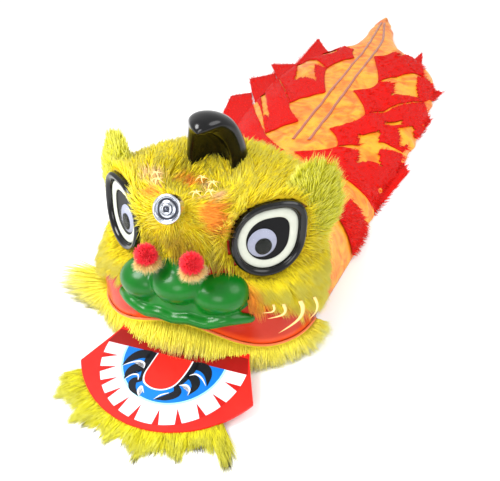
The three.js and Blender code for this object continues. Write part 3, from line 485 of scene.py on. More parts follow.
plastic = Finish("shell_plastic", Roughness=0.35, Coat_Weight=0.12, Coat_Roughness=0.15,
                 Specular_IOR_Level=0.2)
height = plastic.node("ShaderNodeSeparateXYZ", {}, {0: plastic.place()}, "Z")
mottle = plastic.noise(28, 4)
red = plastic.blend(mottle, rgba((164, 26, 2)), rgba((194, 44, 6)))
red = plastic.blend(plastic.painted("rim"), red, rgba((222, 76, 24)))
# Painted shade: darker red on the sides behind the cheeks.
red = plastic.blend(plastic.painted("rear"), red, rgba((112, 16, 8)))
bare = plastic.blend(plastic.noise(60, 4), rgba((196, 192, 186)), rgba((220, 217, 210)))
plastic.feed("Base Color", plastic.blend(plastic.step(height + 0.004 * mottle, 0.026, 0.030), bare, red))
plastic.feed("Roughness", 0.24 + 0.16 * plastic.noise(140, 2))
plastic.bump(plastic.noise(55, 2), 0.0012, 0.35)
fit(head_shell, plastic, "shell", "head_shell")


# Eyes: a black glossy eyelid frame round a flat black field, a cream ring on it, and a loose-pupil wiggle
# eye glued to the middle. All are moulded plastic pressed into the seat of the shell.
EYE_SIDES = {"left": 1, "right": -1}
EYELID_PROFILE = [
    # scale of the teardrop, growth, depth
    (1, -1, -17), (1, 0, -9), (1, 0, -2), (1, -0.8, 0.4), (1, -2.6, 2.0), (0.94, 0, 2.6), (0.88, 0, 2.0),
    (0.83, 0, -0.2), (0.805, 0, -3), (0.8, 0, -8.4),
]
EYE_FIELD_PROFILE = [(0.8, -0.5, -8.5), (0.8, -0.5, -6.3), (0.795, -0.5, -6.0), (0.6, 0, -6.0),
                     (0.3, 0, -6.0), (0.02, 0, -6)]
EYE_RING_PROFILE = [(0.8, -0.5, -5.6), (0.8, -0.5, -4.7), (0.785, -0.4, -4.1), (0.74, 0, -3.5),
                    (0.68, 0, -3.2), (0.62, 0, -3.5), (0.58, 0, -4.2), (0.57, 0, -4.8), (0.57, 0, -5.6)]
WIGGLE_RADIUS, WIGGLE_AT = 19.5, (-7.5, 0)
PUPIL_RADIUS, PUPIL_AT = 11.5, (-6.5, -5)
DOME_ARC = np.radians(np.linspace(0, 88, 14))


def circle(count):
    """Angles all the way round, in even steps."""
    return np.linspace(0, 2 * np.pi, count, endpoint=False)


def eye_ring(side, scale, grow, depth, count=120):
    turned, centre = eye_axes(side)
    a = circle(count)
    r = eye_radius(np.cos(a), 3 + np.sin(a), scale) + grow
    flat = np.stack([r * np.cos(a), 3 + r * np.sin(a), np.full(count, float(depth))], -1)
    return flat @ turned + centre


def fair(rows, per_step=5):
    """A table of numbers carried through smoothly, as on a spline."""
    rows = np.array(rows, float)
    ends = np.concatenate([2 * rows[:1] - rows[1:2], rows, 2 * rows[-1:] - rows[-2:-1]])
    made = []
    for i in range(len(rows) - 1):
        p0, p1, p2, p3 = ends[i:i + 4]
        for t in np.linspace(0, 1, per_step, endpoint=False):
            made.append(0.5 * (2 * p1 + (p2 - p0) * t + (2 * p0 - 5 * p1 + 4 * p2 - p3) * t ** 2
                               + (3 * p1 - p0 - 3 * p2 + p3) * t ** 3))
    return np.array(made + [rows[-1]])


def closed_loft(name, rings, ends="fan"):
    """Rings of equal count as a closed mesh: fans at both ends, or the last ring joined to the first."""
    rings = np.asarray(rings)
    rows, columns = rings.shape[:2]
    faces = grid_faces(rows, columns, closed=True).tolist()
    points = rings.reshape(-1, 3)
    last, count = (rows - 1) * columns, rows * columns
    pairs = [(c, (c + 1) % columns) for c in range(columns)]
    if ends == "fan":
        points = np.concatenate([points, rings[0].mean(0)[None], rings[-1].mean(0)[None]])
        for c, after in pairs:
            faces += [[count, after, c], [count + 1, last + c, last + after]]
    else:
        faces += [[last + c, last + after, after, c] for c, after in pairs]
    return edit(make_mesh(name, points, faces), merge, face_out)


def turned_profile(name, rows, count, place, ends="fan"):
    """A profile of radius and height, closed and turned about the axis that place gives points round."""
    a = circle(count)
    rings = [place(np.stack([r * np.cos(a), r * np.sin(a), np.full(count, float(h))], -1)) for r, h in rows]
    return closed_loft(name, rings, ends)


def on_eye(side, at):
    turned, centre = eye_axes(side)
    return lambda flat: (flat + np.array([*at, 0])) @ turned + centre


glossy_black = mottled(
    "black_lacquer", (45, 4), (3, 3, 4), (10, 10, 12), rough=(0.1, 0.16, 30, 3), dents=(38, 2, 0.0014, 0.3),
    Roughness=0.16, Coat_Weight=0.25, Coat_Roughness=0.05, Specular_IOR_Level=0.25)
field_black = mottled("black_field", (90, 4), (4, 4, 6), (14, 14, 17), Roughness=0.4, Specular_IOR_Level=0.15)
cream_plastic = mottled("cream_plastic", (80, 4), (188, 192, 178), (210, 213, 200),
                        dents=(60, 2, 0.0006, 0.3), Roughness=0.4, Specular_IOR_Level=0.3)
white_plastic = mottled("eye_white", (40, 2), (166, 170, 194), (186, 190, 212),
                        Roughness=0.4, Specular_IOR_Level=0.3)
pupil_black = mottled("pupil_black", (120, 3), (12, 14, 12), (38, 40, 34),
                      Roughness=0.4, Specular_IOR_Level=0.15)
clear = mottled("clear_dome", (20, 2), (40, 42, 46), (58, 60, 66),
                Roughness=0.04, Alpha=0.06, Coat_Weight=0.2, Coat_Roughness=0.02)

for name, side in EYE_SIDES.items():
    lid = fair(EYELID_PROFILE, 4)
    frame_ring = closed_loft(f"eyelid_{name}", [eye_ring(side, *row) for row in lid], ends="join")
    fit(frame_ring, glossy_black, "black", f"eye_frame_{name}")

    field = closed_loft(f"eye_back_{name}", [eye_ring(side, *row) for row in EYE_FIELD_PROFILE])
    fit(field, field_black, "black", f"eye_field_{name}")

    ring = closed_loft(f"eye_rim_{name}", [eye_ring(side, *row) for row in EYE_RING_PROFILE], ends="join")
    fit(ring, cream_plastic, "cream", f"eye_ring_{name}")

    on_cup = on_eye(side, WIGGLE_AT)
    base = turned_profile(f"wiggle_cup_{name}", [
        (0.2, -5.6), (WIGGLE_RADIUS, -5.6), (WIGGLE_RADIUS + 0.3, -5), (WIGGLE_RADIUS, -4.4), (0.2, -4.4)],
        96, on_cup)
    fit(base, white_plastic, "eye_white", f"wiggle_base_{name}")

    pupil = turned_profile(f"wiggle_dot_{name}", [
        (0.2, -4.1), (PUPIL_RADIUS, -4.1), (PUPIL_RADIUS, -3.3), (PUPIL_RADIUS - 0.5, -3), (0.2, -3)],
        72, on_eye(side, PUPIL_AT))
    fit(pupil, pupil_black, "black", f"wiggle_pupil_{name}")

    outer = [(WIGGLE_RADIUS * math.cos(b), -4.1 + 8.7 * math.sin(b)) for b in DOME_ARC]
    inner = [((WIGGLE_RADIUS - 1.2) * math.cos(b), -4.1 + 7.5 * math.sin(b)) for b in DOME_ARC[::-1]]
    dome = turned_profile(
        f"wiggle_dome_{name}", outer + [(0.05, 4.6), (0.05, 3.4)] + inner, 96, on_cup, "join")
    fit(dome, clear, "lens", f"wiggle_lens_{name}")


# Forehead mirror: a pressed metal disc about 37 mm across on a short collar, chromed, with a raised rim,
# a ring inside it and a small knob in the middle. It is fixed through the fur onto the shell.
MIRROR_CENTRE = np.array([0, -184, 246.0])
MIRROR_TILT = 30


def on_mirror(flat):
    tilt = math.radians(MIRROR_TILT)
    ahead = np.array([0, -math.cos(tilt), math.sin(tilt)])
    up = np.array([0, math.sin(tilt), math.cos(tilt)])
    return flat[:, :1] * np.array([1, 0, 0]) + flat[:, 1:2] * up + flat[:, 2:] * ahead + MIRROR_CENTRE


chrome = Finish("chrome", Metallic=1.0, Roughness=0.14)
silver = chrome.blend(chrome.noise(70, 4), rgba((176, 180, 188)), rgba((222, 225, 230)))
# Painted reflection: a dark ring on the disc and the middle of the knob stand in for dark surroundings
# mirrored in the chrome.
chrome.feed("Base Color", chrome.blend(chrome.painted("painted_dark_reflection"), silver, rgba((78, 82, 92))))
chrome.feed("Roughness", 0.08 + 0.2 * chrome.noise(160, 3))
chrome.bump(chrome.noise(220, 2), 0.0004, 0.3)

disc = turned_profile("mirror_plate", fair([
    (0.2, -12), (16.5, -12), (18.4, -10), (18.5, -2), (18.3, 1.6), (17, 2.7), (15.4, 1.9), (14.2, 0.3),
    (11.5, -0.4), (9.4, 0.2), (8.2, 0.7), (7, 0.2), (0.2, 0.2)], 4), 96, on_mirror)
# Painted reflection: the ring round the disc's middle is painted dark.
from_ring = np.abs(np.linalg.norm(points_of(disc) - MIRROR_CENTRE, axis=1) - 12)
paint(disc, "painted_dark_reflection", smooth_step(from_ring, 2.6, 1.2))
fit(disc, chrome, "silver", "mirror_disc")
boss = turned_profile("mirror_knob", fair([
    (0.2, 0.8), (6.4, 0.8), (6.8, 2), (6, 3.1), (4.6, 3.2), (3.5, 2.2), (2.6, 3), (1.5, 4), (0.2, 4.4)], 4),
    64, on_mirror)
# Painted reflection: the middle of the knob is painted dark.
paint(boss, "painted_dark_reflection", smooth_step(np.linalg.norm(points_of(boss) - MIRROR_CENTRE, axis=1), 5.2, 4.2))
fit(boss, chrome, "silver", "mirror_boss")


# Horn: a moulded black hook on the crown, curved forward, hollow in front with a thick rounded rim.
HORN_ROWS = [
    # y, z, half width, half depth, lean in degrees
    (-24, 206, 44, 33, 0), (-24, 224, 44.5, 32, 1), (-24, 240, 44, 31, 4), (-28, 266, 40, 26, 18),
    (-38, 287, 34, 21, 40), (-54, 299, 26, 15, 64), (-70, 301, 17, 10, 88), (-79, 299, 9, 6, 100),
    (-84, 297, 1, 1, 108),
]
SCOOP_CENTRE, SCOOP_SIZE = np.array([0, -67, 238.0]), np.array([34, 43, 52.0])


def soften(thing, rounds):
    made = thing.modifiers.new("soft", "SMOOTH")
    made.factor, made.iterations = 0.5, rounds
    return apply_modifiers(thing)


rows = fair(HORN_ROWS, 10)
a = circle(96)
rings = np.array([np.stack([wide * np.cos(a), y + deep * np.sin(a) * math.cos(math.radians(lean)),
                            z + deep * np.sin(a) * math.sin(math.radians(lean))], -1)
                  for y, z, wide, deep, lean in rows])
scaled = (rings - SCOOP_CENTRE) / SCOOP_SIZE
across_scoop = np.clip(1 - scaled[..., 0] ** 2 - scaled[..., 2] ** 2, 0, None)
floor_y = SCOOP_CENTRE[1] + SCOOP_SIZE[1] * np.sqrt(across_scoop)
push = np.where((across_scoop > 0) & (np.sin(a) < 0.15), np.maximum(floor_y - rings[..., 1], 0), 0)
rings[..., 1] += push
horn = closed_loft("horn_hook", rings)
soften(horn, 6)
fit(horn, glossy_black, "black", "horn")


# Nose: a glossy green moulding on the front of the shell, with a middle bulb, two side lobes, a bridge up
# between the eyes and a wavy rim that runs round above the upper lip.
NOSE_BALLS = [
    ((0, -173, 130), (38, 36, 27)), ((0, -164, 149), (22, 24, 20)), ((51, -163, 117), (40, 36, 27)),
    ((-51, -163, 117), (40, 36, 27)), ((0, -168, 101), (84, 28, 22)),
]
NOSE_RIM = [(-92, -166, 84), (-70, -187, 91), (-44, -195, 85), (-22, -199, 90), (0, -199, 86), (22, -199, 90),
            (44, -195, 85), (70, -187, 91), (92, -166, 84)]
NOSE_RIM_RADIUS, NOSE_VOXEL, NOSE_AIR = 8, 2.5, 0.4


def from_bmesh(name, bm):
    mesh = bpy.data.meshes.new(name)
    bm.to_mesh(mesh)
    bm.free()
    return add_object(name, mesh)


def reach_of(points):
    """Distance from the head's upright middle line."""
    return np.hypot(points[..., 0], points[..., 1] - MIDDLE_Y)


def onto_shell(points, clear_by):
    """Points inside the head are brought out to its surface, from the head's own middle line."""
    z = np.clip(points[:, 2], 1, 200)
    surface = head_point(share_at(z), angle_of(points), clear_by)
    reach = reach_of(points)
    push = np.maximum(reach_of(surface) - reach, 0)[:, None]
    ray = (points - (0, MIDDLE_Y, 0)) * (1, 1, 0)
    return points + push * ray / np.maximum(reach, 1)[:, None]


nose_bm = bmesh.new()
for at, size in NOSE_BALLS:
    bmesh.ops.create_uvsphere(nose_bm, u_segments=48, v_segments=32, radius=1, matrix=Matrix.Translation(
        Vector(in_row(at))) @ Matrix.Diagonal((*(s * MM for s in size), 1)))
for at in fair(NOSE_RIM, 12):
    bmesh.ops.create_icosphere(nose_bm, subdivisions=2, radius=NOSE_RIM_RADIUS * MM,
                               matrix=Matrix.Translation(Vector(in_row(at))))
nose = from_bmesh("nose_moulding", nose_bm)
skin = nose.modifiers.new("one skin", "REMESH")
skin.mode, skin.voxel_size = "VOXEL", NOSE_VOXEL * MM
soften(nose, 7)
nose.data.shade_smooth()
seated = in_row(onto_shell(points_of(nose), NOSE_AIR))
nose.data.vertices.foreach_set("co", seated.astype(np.float32).ravel())
nose.data.update()
green = mottled("green_gloss", (22, 4), (1, 76, 14), (4, 120, 24), rough=(0.24, 0.16, 60, 3),
                dents=(36, 3, 0.0016, 0.35), Roughness=0.3, Coat_Weight=0.22, Coat_Roughness=0.15,
                Specular_IOR_Level=0.2)
fit(nose, green, "green", "nose")


# Crown fur: long-pile synthetic fur on a woven backing, glued over the crown and forehead and combed back
# and away from the eyes. Its pile is about 22 mm and lies low, in tufts, with paler tips.
FUR_SKIN, FUR_OVER_FLOOR, FUR_WELD = 0.0012, 0.0006, 0.00001      # metres


def fur_tree():
    """Blades on a backing: they stand up from it, lean along its flow, and gather in tufts."""
    tree = bpy.data.node_groups.new("fur", "GeometryNodeTree")
    make = NodeMaker(tree)
    inputs = {}
    for name, kind in [("Backing", "Geometry"), ("Blades", "Float"), ("Seed", "Int"), ("Length", "Float"),
                       ("Width", "Float"), ("Lift", "Float"), ("Ruffle", "Float"), ("Bend", "Float"),
                       ("Droop", "Float"), ("Tuft Size", "Float"), ("Tuft Pull", "Float"), ("Steps", "Int"),
                       ("Finish", "Material")]:
        socket = tree.interface.new_socket(name, in_out="INPUT", socket_type=f"NodeSocket{kind}")
        inputs[name] = socket.identifier
    tree.interface.new_socket("Fur", in_out="OUTPUT", socket_type="NodeSocketGeometry")
    given = make.node("NodeGroupInput", output="Backing")
    get = given.output

    def named(name, kind="FLOAT"):
        return make.node("GeometryNodeInputNamedAttribute", {"data_type": kind}, {"Name": name}, "Attribute")

    def store(geometry, name, value, kind="FLOAT", domain="POINT"):
        return make.node("GeometryNodeStoreNamedAttribute", {"data_type": kind, "domain": domain},
                         {"Geometry": geometry, "Name": name, "Value": value})

    def chance(low, high, seed):
        return make.node("FunctionNodeRandomValue", {"data_type": "FLOAT"}, {
            "Min": low, "Max": high, "Seed": get("Seed") + seed}, 1)

    def scaled(vector, amount):
        return make.vector("SCALE", vector, scale=amount)

    def added(first, second):
        return make.vector("ADD", first, second)

    def combined(x, y, z):
        return make.node("ShaderNodeCombineXYZ", {}, {0: x, 1: y, 2: z})

    def joined(first, second):
        made = make.node("GeometryNodeJoinGeometry", {}, {0: first})
        tree.links.new(second.socket, made.socket.node.inputs[0])
        return made

    spots = make.node("GeometryNodeDistributePointsOnFaces", {}, {
        "Mesh": given, "Density": get("Blades") * named("cover"), "Seed": get("Seed")}, "Points")
    normal = spots.output("Normal")
    flow = named("flow", "FLOAT_VECTOR")
    wild = make.node("FunctionNodeRandomValue", {"data_type": "FLOAT_VECTOR"}, {
        0: (-1, -1, -1), 1: (1, 1, 1), "Seed": get("Seed") + 3})
    lifted = added(scaled(normal, get("Lift")), flow)
    way = make.vector("NORMALIZE", added(lifted, scaled(wild, get("Ruffle"))))
    reach = get("Length") * named("pile") * chance(0.62, 1.12, 5)

    place = make.node("GeometryNodeInputPosition")
    cell = make.node("ShaderNodeTexVoronoi", {}, {"Vector": place, "Scale": 1 / get("Tuft Size")}, "Position")
    apart = make.vector("SUBTRACT", cell, place)
    along = make.vector("SUBTRACT", apart, scaled(normal, make.vector(
        "DOT_PRODUCT", apart, normal, output="Value")))
    bent = scaled(flow, reach * get("Bend"))
    sunk = scaled(combined(None, None, -1.0), reach * get("Droop"))
    lean = added(added(scaled(along, get("Tuft Pull")), bent), sunk)

    spots = store(spots, "lean", lean, "FLOAT_VECTOR")
    spots = store(spots, "strand", chance(0.0, 1.0, 9))
    spots = store(spots, "tuft", make.node("FunctionNodeSeparateColor", {}, {0: cell.output("Color")}))
    blade = make.node("GeometryNodeMeshCone", {}, {
        "Vertices": 3, "Side Segments": get("Steps"), "Fill Segments": 1, "Radius Top": 0.0,
        "Radius Bottom": 0.5, "Depth": 1.0})
    above = make.node("ShaderNodeSeparateXYZ", {}, {0: place})
    rise = above.output("Z")
    blade = store(blade, "t", rise)
    full = 1 + 1.5 * rise * (1 - rise)
    blade = make.node("GeometryNodeSetPosition", {}, {
        "Geometry": blade, "Position": make.vector("MULTIPLY", place, combined(full, full, 1.0))})
    thick = get("Width") * chance(0.7, 1.25, 11)
    pile = make.node("GeometryNodeInstanceOnPoints", {}, {
        "Points": spots, "Instance": blade, "Scale": combined(thick, thick, reach),
        "Rotation": make.node("FunctionNodeAlignRotationToVector", {"axis": "Z"}, {"Vector": way})})
    pile = make.node("GeometryNodeRealizeInstances", {}, {0: pile})
    t = named("t")
    pile = make.node("GeometryNodeSetPosition", {}, {
        "Geometry": pile, "Offset": scaled(named("lean", "FLOAT_VECTOR"), t * t)})
    skin = make.node("GeometryNodeExtrudeMesh", {"mode": "FACES"}, {
        "Mesh": given, "Offset Scale": FUR_SKIN, "Individual": False})
    skin = joined(skin, make.node("GeometryNodeFlipFaces", {}, {0: given}))
    skin = make.node("GeometryNodeMergeByDistance", {}, {"Geometry": skin, "Distance": FUR_WELD})
    both = joined(store(skin, "strand", 0.5), pile)
    floor_z = make.node("ShaderNodeMath", {"operation": "MAXIMUM"}, {0: rise, 1: FUR_OVER_FLOOR})
    both = make.node("GeometryNodeSetPosition", {}, {
        "Geometry": both, "Position": combined(above, above.output("Y"), floor_z)})
    smooth = make.node("GeometryNodeSetShadeSmooth", {}, {"Geometry": both})
    dressed = make.node("GeometryNodeSetMaterial", {}, {"Geometry": smooth, "Material": get("Finish")})
    make.node("NodeGroupOutput", {}, {0: dressed})
    return tree, inputs


fur_group, fur_inputs = fur_tree()
PER_BLADE = {2: 10, 3: 16}          # triangles of a blade, by its steps


def area_of(thing, weight):
    """The mesh's area in square metres, each point weighed."""
    return sum(face.area * float(np.mean(weight[list(face.vertices)])) for face in thing.data.polygons)


def grow_fur(thing, finish, triangles, flow, pile, cover, length, width, **settings):
    """Fur of about that many triangles on an open backing or a closed body."""
    made = thing.data.attributes.new("flow", "FLOAT_VECTOR", "POINT")
    made.data.foreach_set("vector", np.asarray(flow, np.float32).ravel())
    count = len(thing.data.vertices)
    cover = np.broadcast_to(np.asarray(cover, float), (count,))
    paint(thing, "pile", np.broadcast_to(np.asarray(pile, float), (count,)))
    paint(thing, "cover", cover)
    steps = settings.pop("steps", 2)
    blades = triangles / PER_BLADE[steps] / area_of(thing, cover)
    values = {"Blades": blades, "Seed": 1, "Length": length * MM, "Width": width * MM, "Lift": 0.6,
              "Ruffle": 0.25, "Bend": 0.4, "Droop": 0.0, "Tuft Size": 0.014, "Tuft Pull": 0.5, "Steps": steps}
    values.update({name.replace("_", " ").title(): value for name, value in settings.items()})
    grower = thing.modifiers.new("fur", "NODES")
    grower.node_group = fur_group
    for name, value in values.items():
        grower[fur_inputs[name]] = value
    grower[fur_inputs["Finish"]] = finish.material
    return apply_modifiers(thing)


def fur_finish(name, root, body, tips, sheen=0.05, patches=()):
    """Fibres darker at the root, with paler tips, and each tuft a little different from the next."""
    made = Finish(name, Roughness=0.62, Sheen_Weight=sheen, Sheen_Roughness=0.4, Specular_IOR_Level=0.15)
    t = made.painted("t")
    low = made.blend(made.step(t, 0.0, 0.45), rgba(root), rgba(body))
    high = made.blend(made.step(t, 0.5, 1.0), low, rgba(tips))
    drift = made.noise(16, 3)
    varied = made.blend(0.3 * made.painted("strand") + 0.22 * made.painted("tuft") + 0.35 * (drift - 0.5),
                        high, made.blend(0.5, high, rgba(root), "MULTIPLY"))
    for patch, colour in patches:
        varied = made.blend(made.painted(patch), varied, rgba(colour))
    made.feed("Base Color", varied)
    made.feed("Roughness", 0.5 + 0.25 * made.painted("strand"))
    return made


def face_normals(thing):
    found = np.zeros(len(thing.data.vertices) * 3, np.float32)
    thing.data.vertices.foreach_get("normal", found)
    return found.reshape(-1, 3).astype(float)


def unit(vectors):
    return vectors / np.maximum(np.linalg.norm(vectors, axis=-1, keepdims=True), 1e-6)


def keep_faces(thing, wanted):
    """Leaves only the faces whose middle passes the test, in the design frame."""
    def step(bm):
        middles = np.array([f.calc_center_median() for f in bm.faces])
        passed = wanted((middles - origin) / MM)
        bm.faces.ensure_lookup_table()
        bmesh.ops.delete(bm, geom=[bm.faces[i] for i in np.flatnonzero(~passed)], context="FACES")
        merge(bm, 1e-6)
    return edit(thing, step)


def turn_outwards(thing, middle):
    """Turns an open sheet so that its faces look away from a point."""
    if np.sum(face_normals(thing) * (points_of(thing) - middle)) < 0:
        edit(thing, lambda bm: bmesh.ops.reverse_faces(bm, faces=bm.faces))
    return face_normals(thing)


def lie_flat(flow, normals):
    """Takes out what points away from the surface."""
    return flow - normals * np.sum(flow * normals, axis=1, keepdims=True)


def head_flow(points, normals, down):
    """Combed back from the middle of the forehead and away from each eye, and hanging where it is low."""
    flow = unit(points - np.array([0, -150, 215.0]))
    for side in (1, -1):
        outside, _ = eye_place(points, side)
        _, centre = eye_axes(side)
        near = np.exp(-np.clip(outside, 0, None) / 22) * (points[:, 0] * side > 0)
        flow = flow + 1.6 * near[:, None] * unit(points - centre)
    ring = points - MIRROR_CENTRE
    flow = flow + 1.2 * np.exp(-np.linalg.norm(ring, axis=1) / 26)[:, None] * unit(ring)
    flow[:, 2] -= down * smooth_step(points[:, 2], 175, 110)
    return unit(lie_flat(flow, normals))


def nose_room(points):
    """Below 1 where the nose stands."""
    first = (points - (0, -190, 112)) / (105, 90, 64)
    second = (points - (0, -178, 90)) / (108, 50, 24)
    return np.minimum(np.sum(first ** 2, -1), np.sum(second ** 2, -1))


NOSE_ROOM, EYE_AIR, EYE_BACK, MIRROR_ROOM = 0.87, 0.5, -60, 22


def clear_of_face(points):
    """True where fur may lie: off the eyes, the mirror and the nose."""
    clear = nose_room(points) > NOSE_ROOM
    for side in (1, -1):
        outside, depth = eye_place(points, side)
        clear &= (outside > EYE_AIR) | (depth < EYE_BACK) | (points[:, 0] * side < 0)
    return clear & (np.linalg.norm(points - MIRROR_CENTRE, axis=1) > MIRROR_ROOM)


def inside_rim(points):
    """How far points lie ahead of the head's rear rim."""
    return REAR_Y + REAR_SLOPE * points[:, 2] - points[:, 1]


BACKING_OUT, BACKING_LIFT = 1.0, 1.4


def fur_backing(name, shares, degrees, closed, wanted):
    """The woven backing of a fur, over the faces of the head that pass the test."""
    shares, angles = np.meshgrid(shares, degrees, indexing="ij")
    made = grid_mesh(name, with_eye_seats(head_point(shares, angles, BACKING_OUT), BACKING_LIFT), closed)
    keep_faces(made, wanted)
    return edit(made, face_out)


def add_curls(thing, curls):
    """Joins curled locks to a pile. Each has its root, run, turn, rise off the fur and half width."""
    whole = bmesh.new()
    whole.from_mesh(thing.data)
    dressed = thing.data.polygons[-1].material_index
    for root, run, turn, rise, half in curls:
        u = np.linspace(0, 1, 14)[:, None]
        root, run, turn, rise = (np.array(v, float) for v in (root, run, turn, rise))
        line = root + run * u + turn * u ** 2 + rise * np.sin(np.pi * u ** 0.7)
        along = unit(np.gradient(line, axis=0))
        side = unit(np.cross(along, rise))
        up = np.cross(side, along)
        a = circle(8)[:, None]
        taper = half * (1 - u) ** 0.6 + 0.1
        curl = closed_loft("curl", np.array([c + w * (np.cos(a) * s + 0.5 * np.sin(a) * n)
                                             for c, s, n, w in zip(line, side, up, taper)]))
        for name, amount in [("t", 0.6), ("strand", 0.5), ("tuft", 0.5), ("pale", 0.8)]:
            paint(curl, name, np.full(len(curl.data.vertices), amount))
        curl.data.polygons.foreach_set("material_index", [dressed] * len(curl.data.polygons))
        whole.from_mesh(curl.data)
        bpy.data.objects.remove(curl)
    whole.to_mesh(thing.data)
    whole.free()


FUR_SPLIT_Z = 132
CROWN_ROWS, CROWN_COLUMNS, CROWN_TOP = 40, 104, 0.985
crown = fur_backing(
    "crown_pile", np.linspace(float(share_at(FUR_SPLIT_Z)), CROWN_TOP, CROWN_ROWS),
    np.linspace(-180, 180, CROWN_COLUMNS, endpoint=False), True,
    lambda p: clear_of_face(p) & (inside_rim(p) > 2))
crown_points, crown_normals = points_of(crown), face_normals(crown)
flow = head_flow(crown_points, crown_normals, 0.8)
rim_gap = inside_rim(crown_points)
pile = 0.85 + 0.4 * smooth_step(rim_gap, 50, 4)
brow_band = np.exp(-((crown_points[:, 2] - 205) / 30) ** 2) * smooth_step(np.abs(crown_points[:, 0]), 25, 60)
pile = pile + 0.15 * brow_band - 0.3 * smooth_step(np.abs(crown_points[:, 0]), 55, 20) * smooth_step(
    crown_points[:, 1], -120, -165)
cover = smooth_step(crown_points[:, 2], FUR_SPLIT_Z - 1, FUR_SPLIT_Z + 4) * 0.75 + 0.25

# Dyed patches of the fur, and olive painted shade by the pompoms and the near eye: x, y, z of the middle and
# radius
DYES_AND_SHADE = {
    "pale": [(-53, -106, 238, 13), (-64, -116, 236, 9), (4, -84, 228, 14), (34, -130, 238, 13),
             (16, -139, 238, 8), (-44, -124, 238, 9), (26, -106, 236, 10), (-70, -100, 236, 8)],
    "orange": [(-36, -142, 238, 13), (-25, -80, 228, 16), (-10, -78, 228, 14), (40, -154, 234, 18),
               (50, -163, 222, 18), (84, -156, 108, 20), (107, -157, 98, 16), (135, -147, 92, 18),
               (157, -125, 88, 14)],
    # Painted shade: olive darkening in the corners between the pompoms, the nose and the near eye.
    "olive_painted_shade": [(6, -186, 195, 20), (-7, -185, 201, 16), (52, -164, 176, 18), (57, -162, 165, 16),
              (49, -166, 190, 14)],
}


def dye_and_shade(thing, points):
    """Paints how much of each dye, and of the olive painted shade, the fur takes."""
    for patch, places in DYES_AND_SHADE.items():
        amount = np.zeros(len(points))
        for x, y, z, radius in places:
            away = np.linalg.norm((points - (x, y, z)) * (1, 1, 0.5), axis=1)
            amount = np.maximum(amount, smooth_step(away, radius, 0.5 * radius))
        paint(thing, patch, amount)


# The olive patch colour below is painted shade.
yellow_fur = fur_finish("yellow_fur", (196, 168, 14), (240, 222, 36), (248, 240, 104), patches=[
    ("orange", (240, 150, 50)), ("olive_painted_shade", (168, 140, 30)), ("pale", (250, 206, 150))])
dye_and_shade(crown, crown_points)
grow_fur(crown, yellow_fur, 140000, flow, pile, cover, length=22, width=1.4, seed=11, lift=0.62, ruffle=0.22,
         bend=0.35, droop=0.12, tuft_size=0.017, tuft_pull=0.55)
STARS = [(-52, -106, 243), (-42, -122, 244), (34, -130, 244), (18, -138, 244), (6, -92, 238), (28, -108, 243)]
star_curls = []
for k, place in enumerate(STARS):
    for turned in np.radians(np.arange(5) * 72 + 31 * k):
        away = np.array([math.cos(turned), math.sin(turned), 0])
        aside = np.array([-math.sin(turned), math.cos(turned), 0])
        star_curls.append((place, 9 * away + (0, 0, 2), 5 * aside - (0, 0, 3), (0, 0, 2.5), 1.1))
add_curls(crown, star_curls)
fit(crown, None, "fur", "crown_fur")


# Cheek furs: the same fur, cut to a curved hem above the bare lips and to a straight rear edge, with longer
# hair that hangs over both edges.
HEM_REAR, HEM_FRONT, HEM_ANGLES = 62, 92, (44, 76)
CHEEK_ROWS, CHEEK_COLUMNS = 22, 60
HEM_GAP, CHEEK_REAR_GAP = 12, 56


def over_fur_hem(points):
    """Height of points over the lower edge of the cheek fur's backing."""
    rearwards = smooth_step(np.abs(angle_of(points)), *HEM_ANGLES)
    return points[:, 2] - (HEM_FRONT + (HEM_REAR - HEM_FRONT) * rearwards) - HEM_GAP


for name, side in EYE_SIDES.items():
    cheek = fur_backing(
        f"cheek_pile_{name}", share_at(np.linspace(56, FUR_SPLIT_Z + 1, CHEEK_ROWS)),
        np.linspace(14, 112, CHEEK_COLUMNS) * side, False,
        lambda p: clear_of_face(p) & (inside_rim(p) > CHEEK_REAR_GAP) & (over_fur_hem(p) > 0))
    normals = turn_outwards(cheek, (0, MIDDLE_Y, 100))
    p = points_of(cheek)
    flow = head_flow(p, normals, 1.3)
    rear_gap = inside_rim(p) - CHEEK_REAR_GAP
    pile = 1 - 0.3 * smooth_step(over_fur_hem(p), 26, 2) - 0.45 * smooth_step(rear_gap, 42, 2)
    dye_and_shade(cheek, p)
    grow_fur(cheek, yellow_fur, 76000 if side > 0 else 42000, flow, pile, 1.0, length=23, width=1.4,
             seed=21 + side, lift=0.55, ruffle=0.24, bend=0.35, droop=0.25, tuft_size=0.018, tuft_pull=0.55)
    if side > 0:
        add_curls(cheek, [
            ((152, -132, 100), (4, -4, -34), (-26, -22, -6), (7, -7, 0), 3.4),
            ((134, -148, 103), (2, -2, -14), (-20, -12, -4), (6, -8, 0), 2.4),
            ((166, -114, 96), (4, -3, -28), (-7, -7, -3), (6, -5, 0), 2.2),
            ((122, -154, 104), (1, -1, -10), (-14, -8, 0), (4, -6, 0), 1.8),
        ])
    fit(cheek, None, "fur", f"cheek_fur_{name}")


# Brow flares: upright padded leaves sewn from the same fur, one at the outer end of each brow. Each is
# stuffed, faced with greener fur, and stands up out of the crown.
BROW_ROWS = [
    # z, x, y, half width, half thickness
    (160, 144, -58, 20, 6), (178, 145, -57, 33, 9), (200, 145, -54, 38, 10), (221, 144, -50, 35, 9),
    (236, 144, -46, 29, 7), (246, 145, -43, 20, 5), (252, 144, -40, 8, 2),
]
brow_fur = fur_finish("brow_fur", (160, 156, 14), (218, 214, 50), (240, 238, 124))
eye_flat = math.hypot(EYE_NORMAL[0], EYE_NORMAL[1])
flat_across = np.array([-EYE_NORMAL[1], EYE_NORMAL[0], 0]) / eye_flat
flat_ahead = np.array([EYE_NORMAL[0], EYE_NORMAL[1], 0]) / eye_flat
a = circle(32)[:, None]
rings = np.array([(x, y, z) + half * np.cos(a) * flat_across + thick * np.sin(a) * flat_ahead
                  for z, x, y, half, thick in fair(BROW_ROWS, 4)])
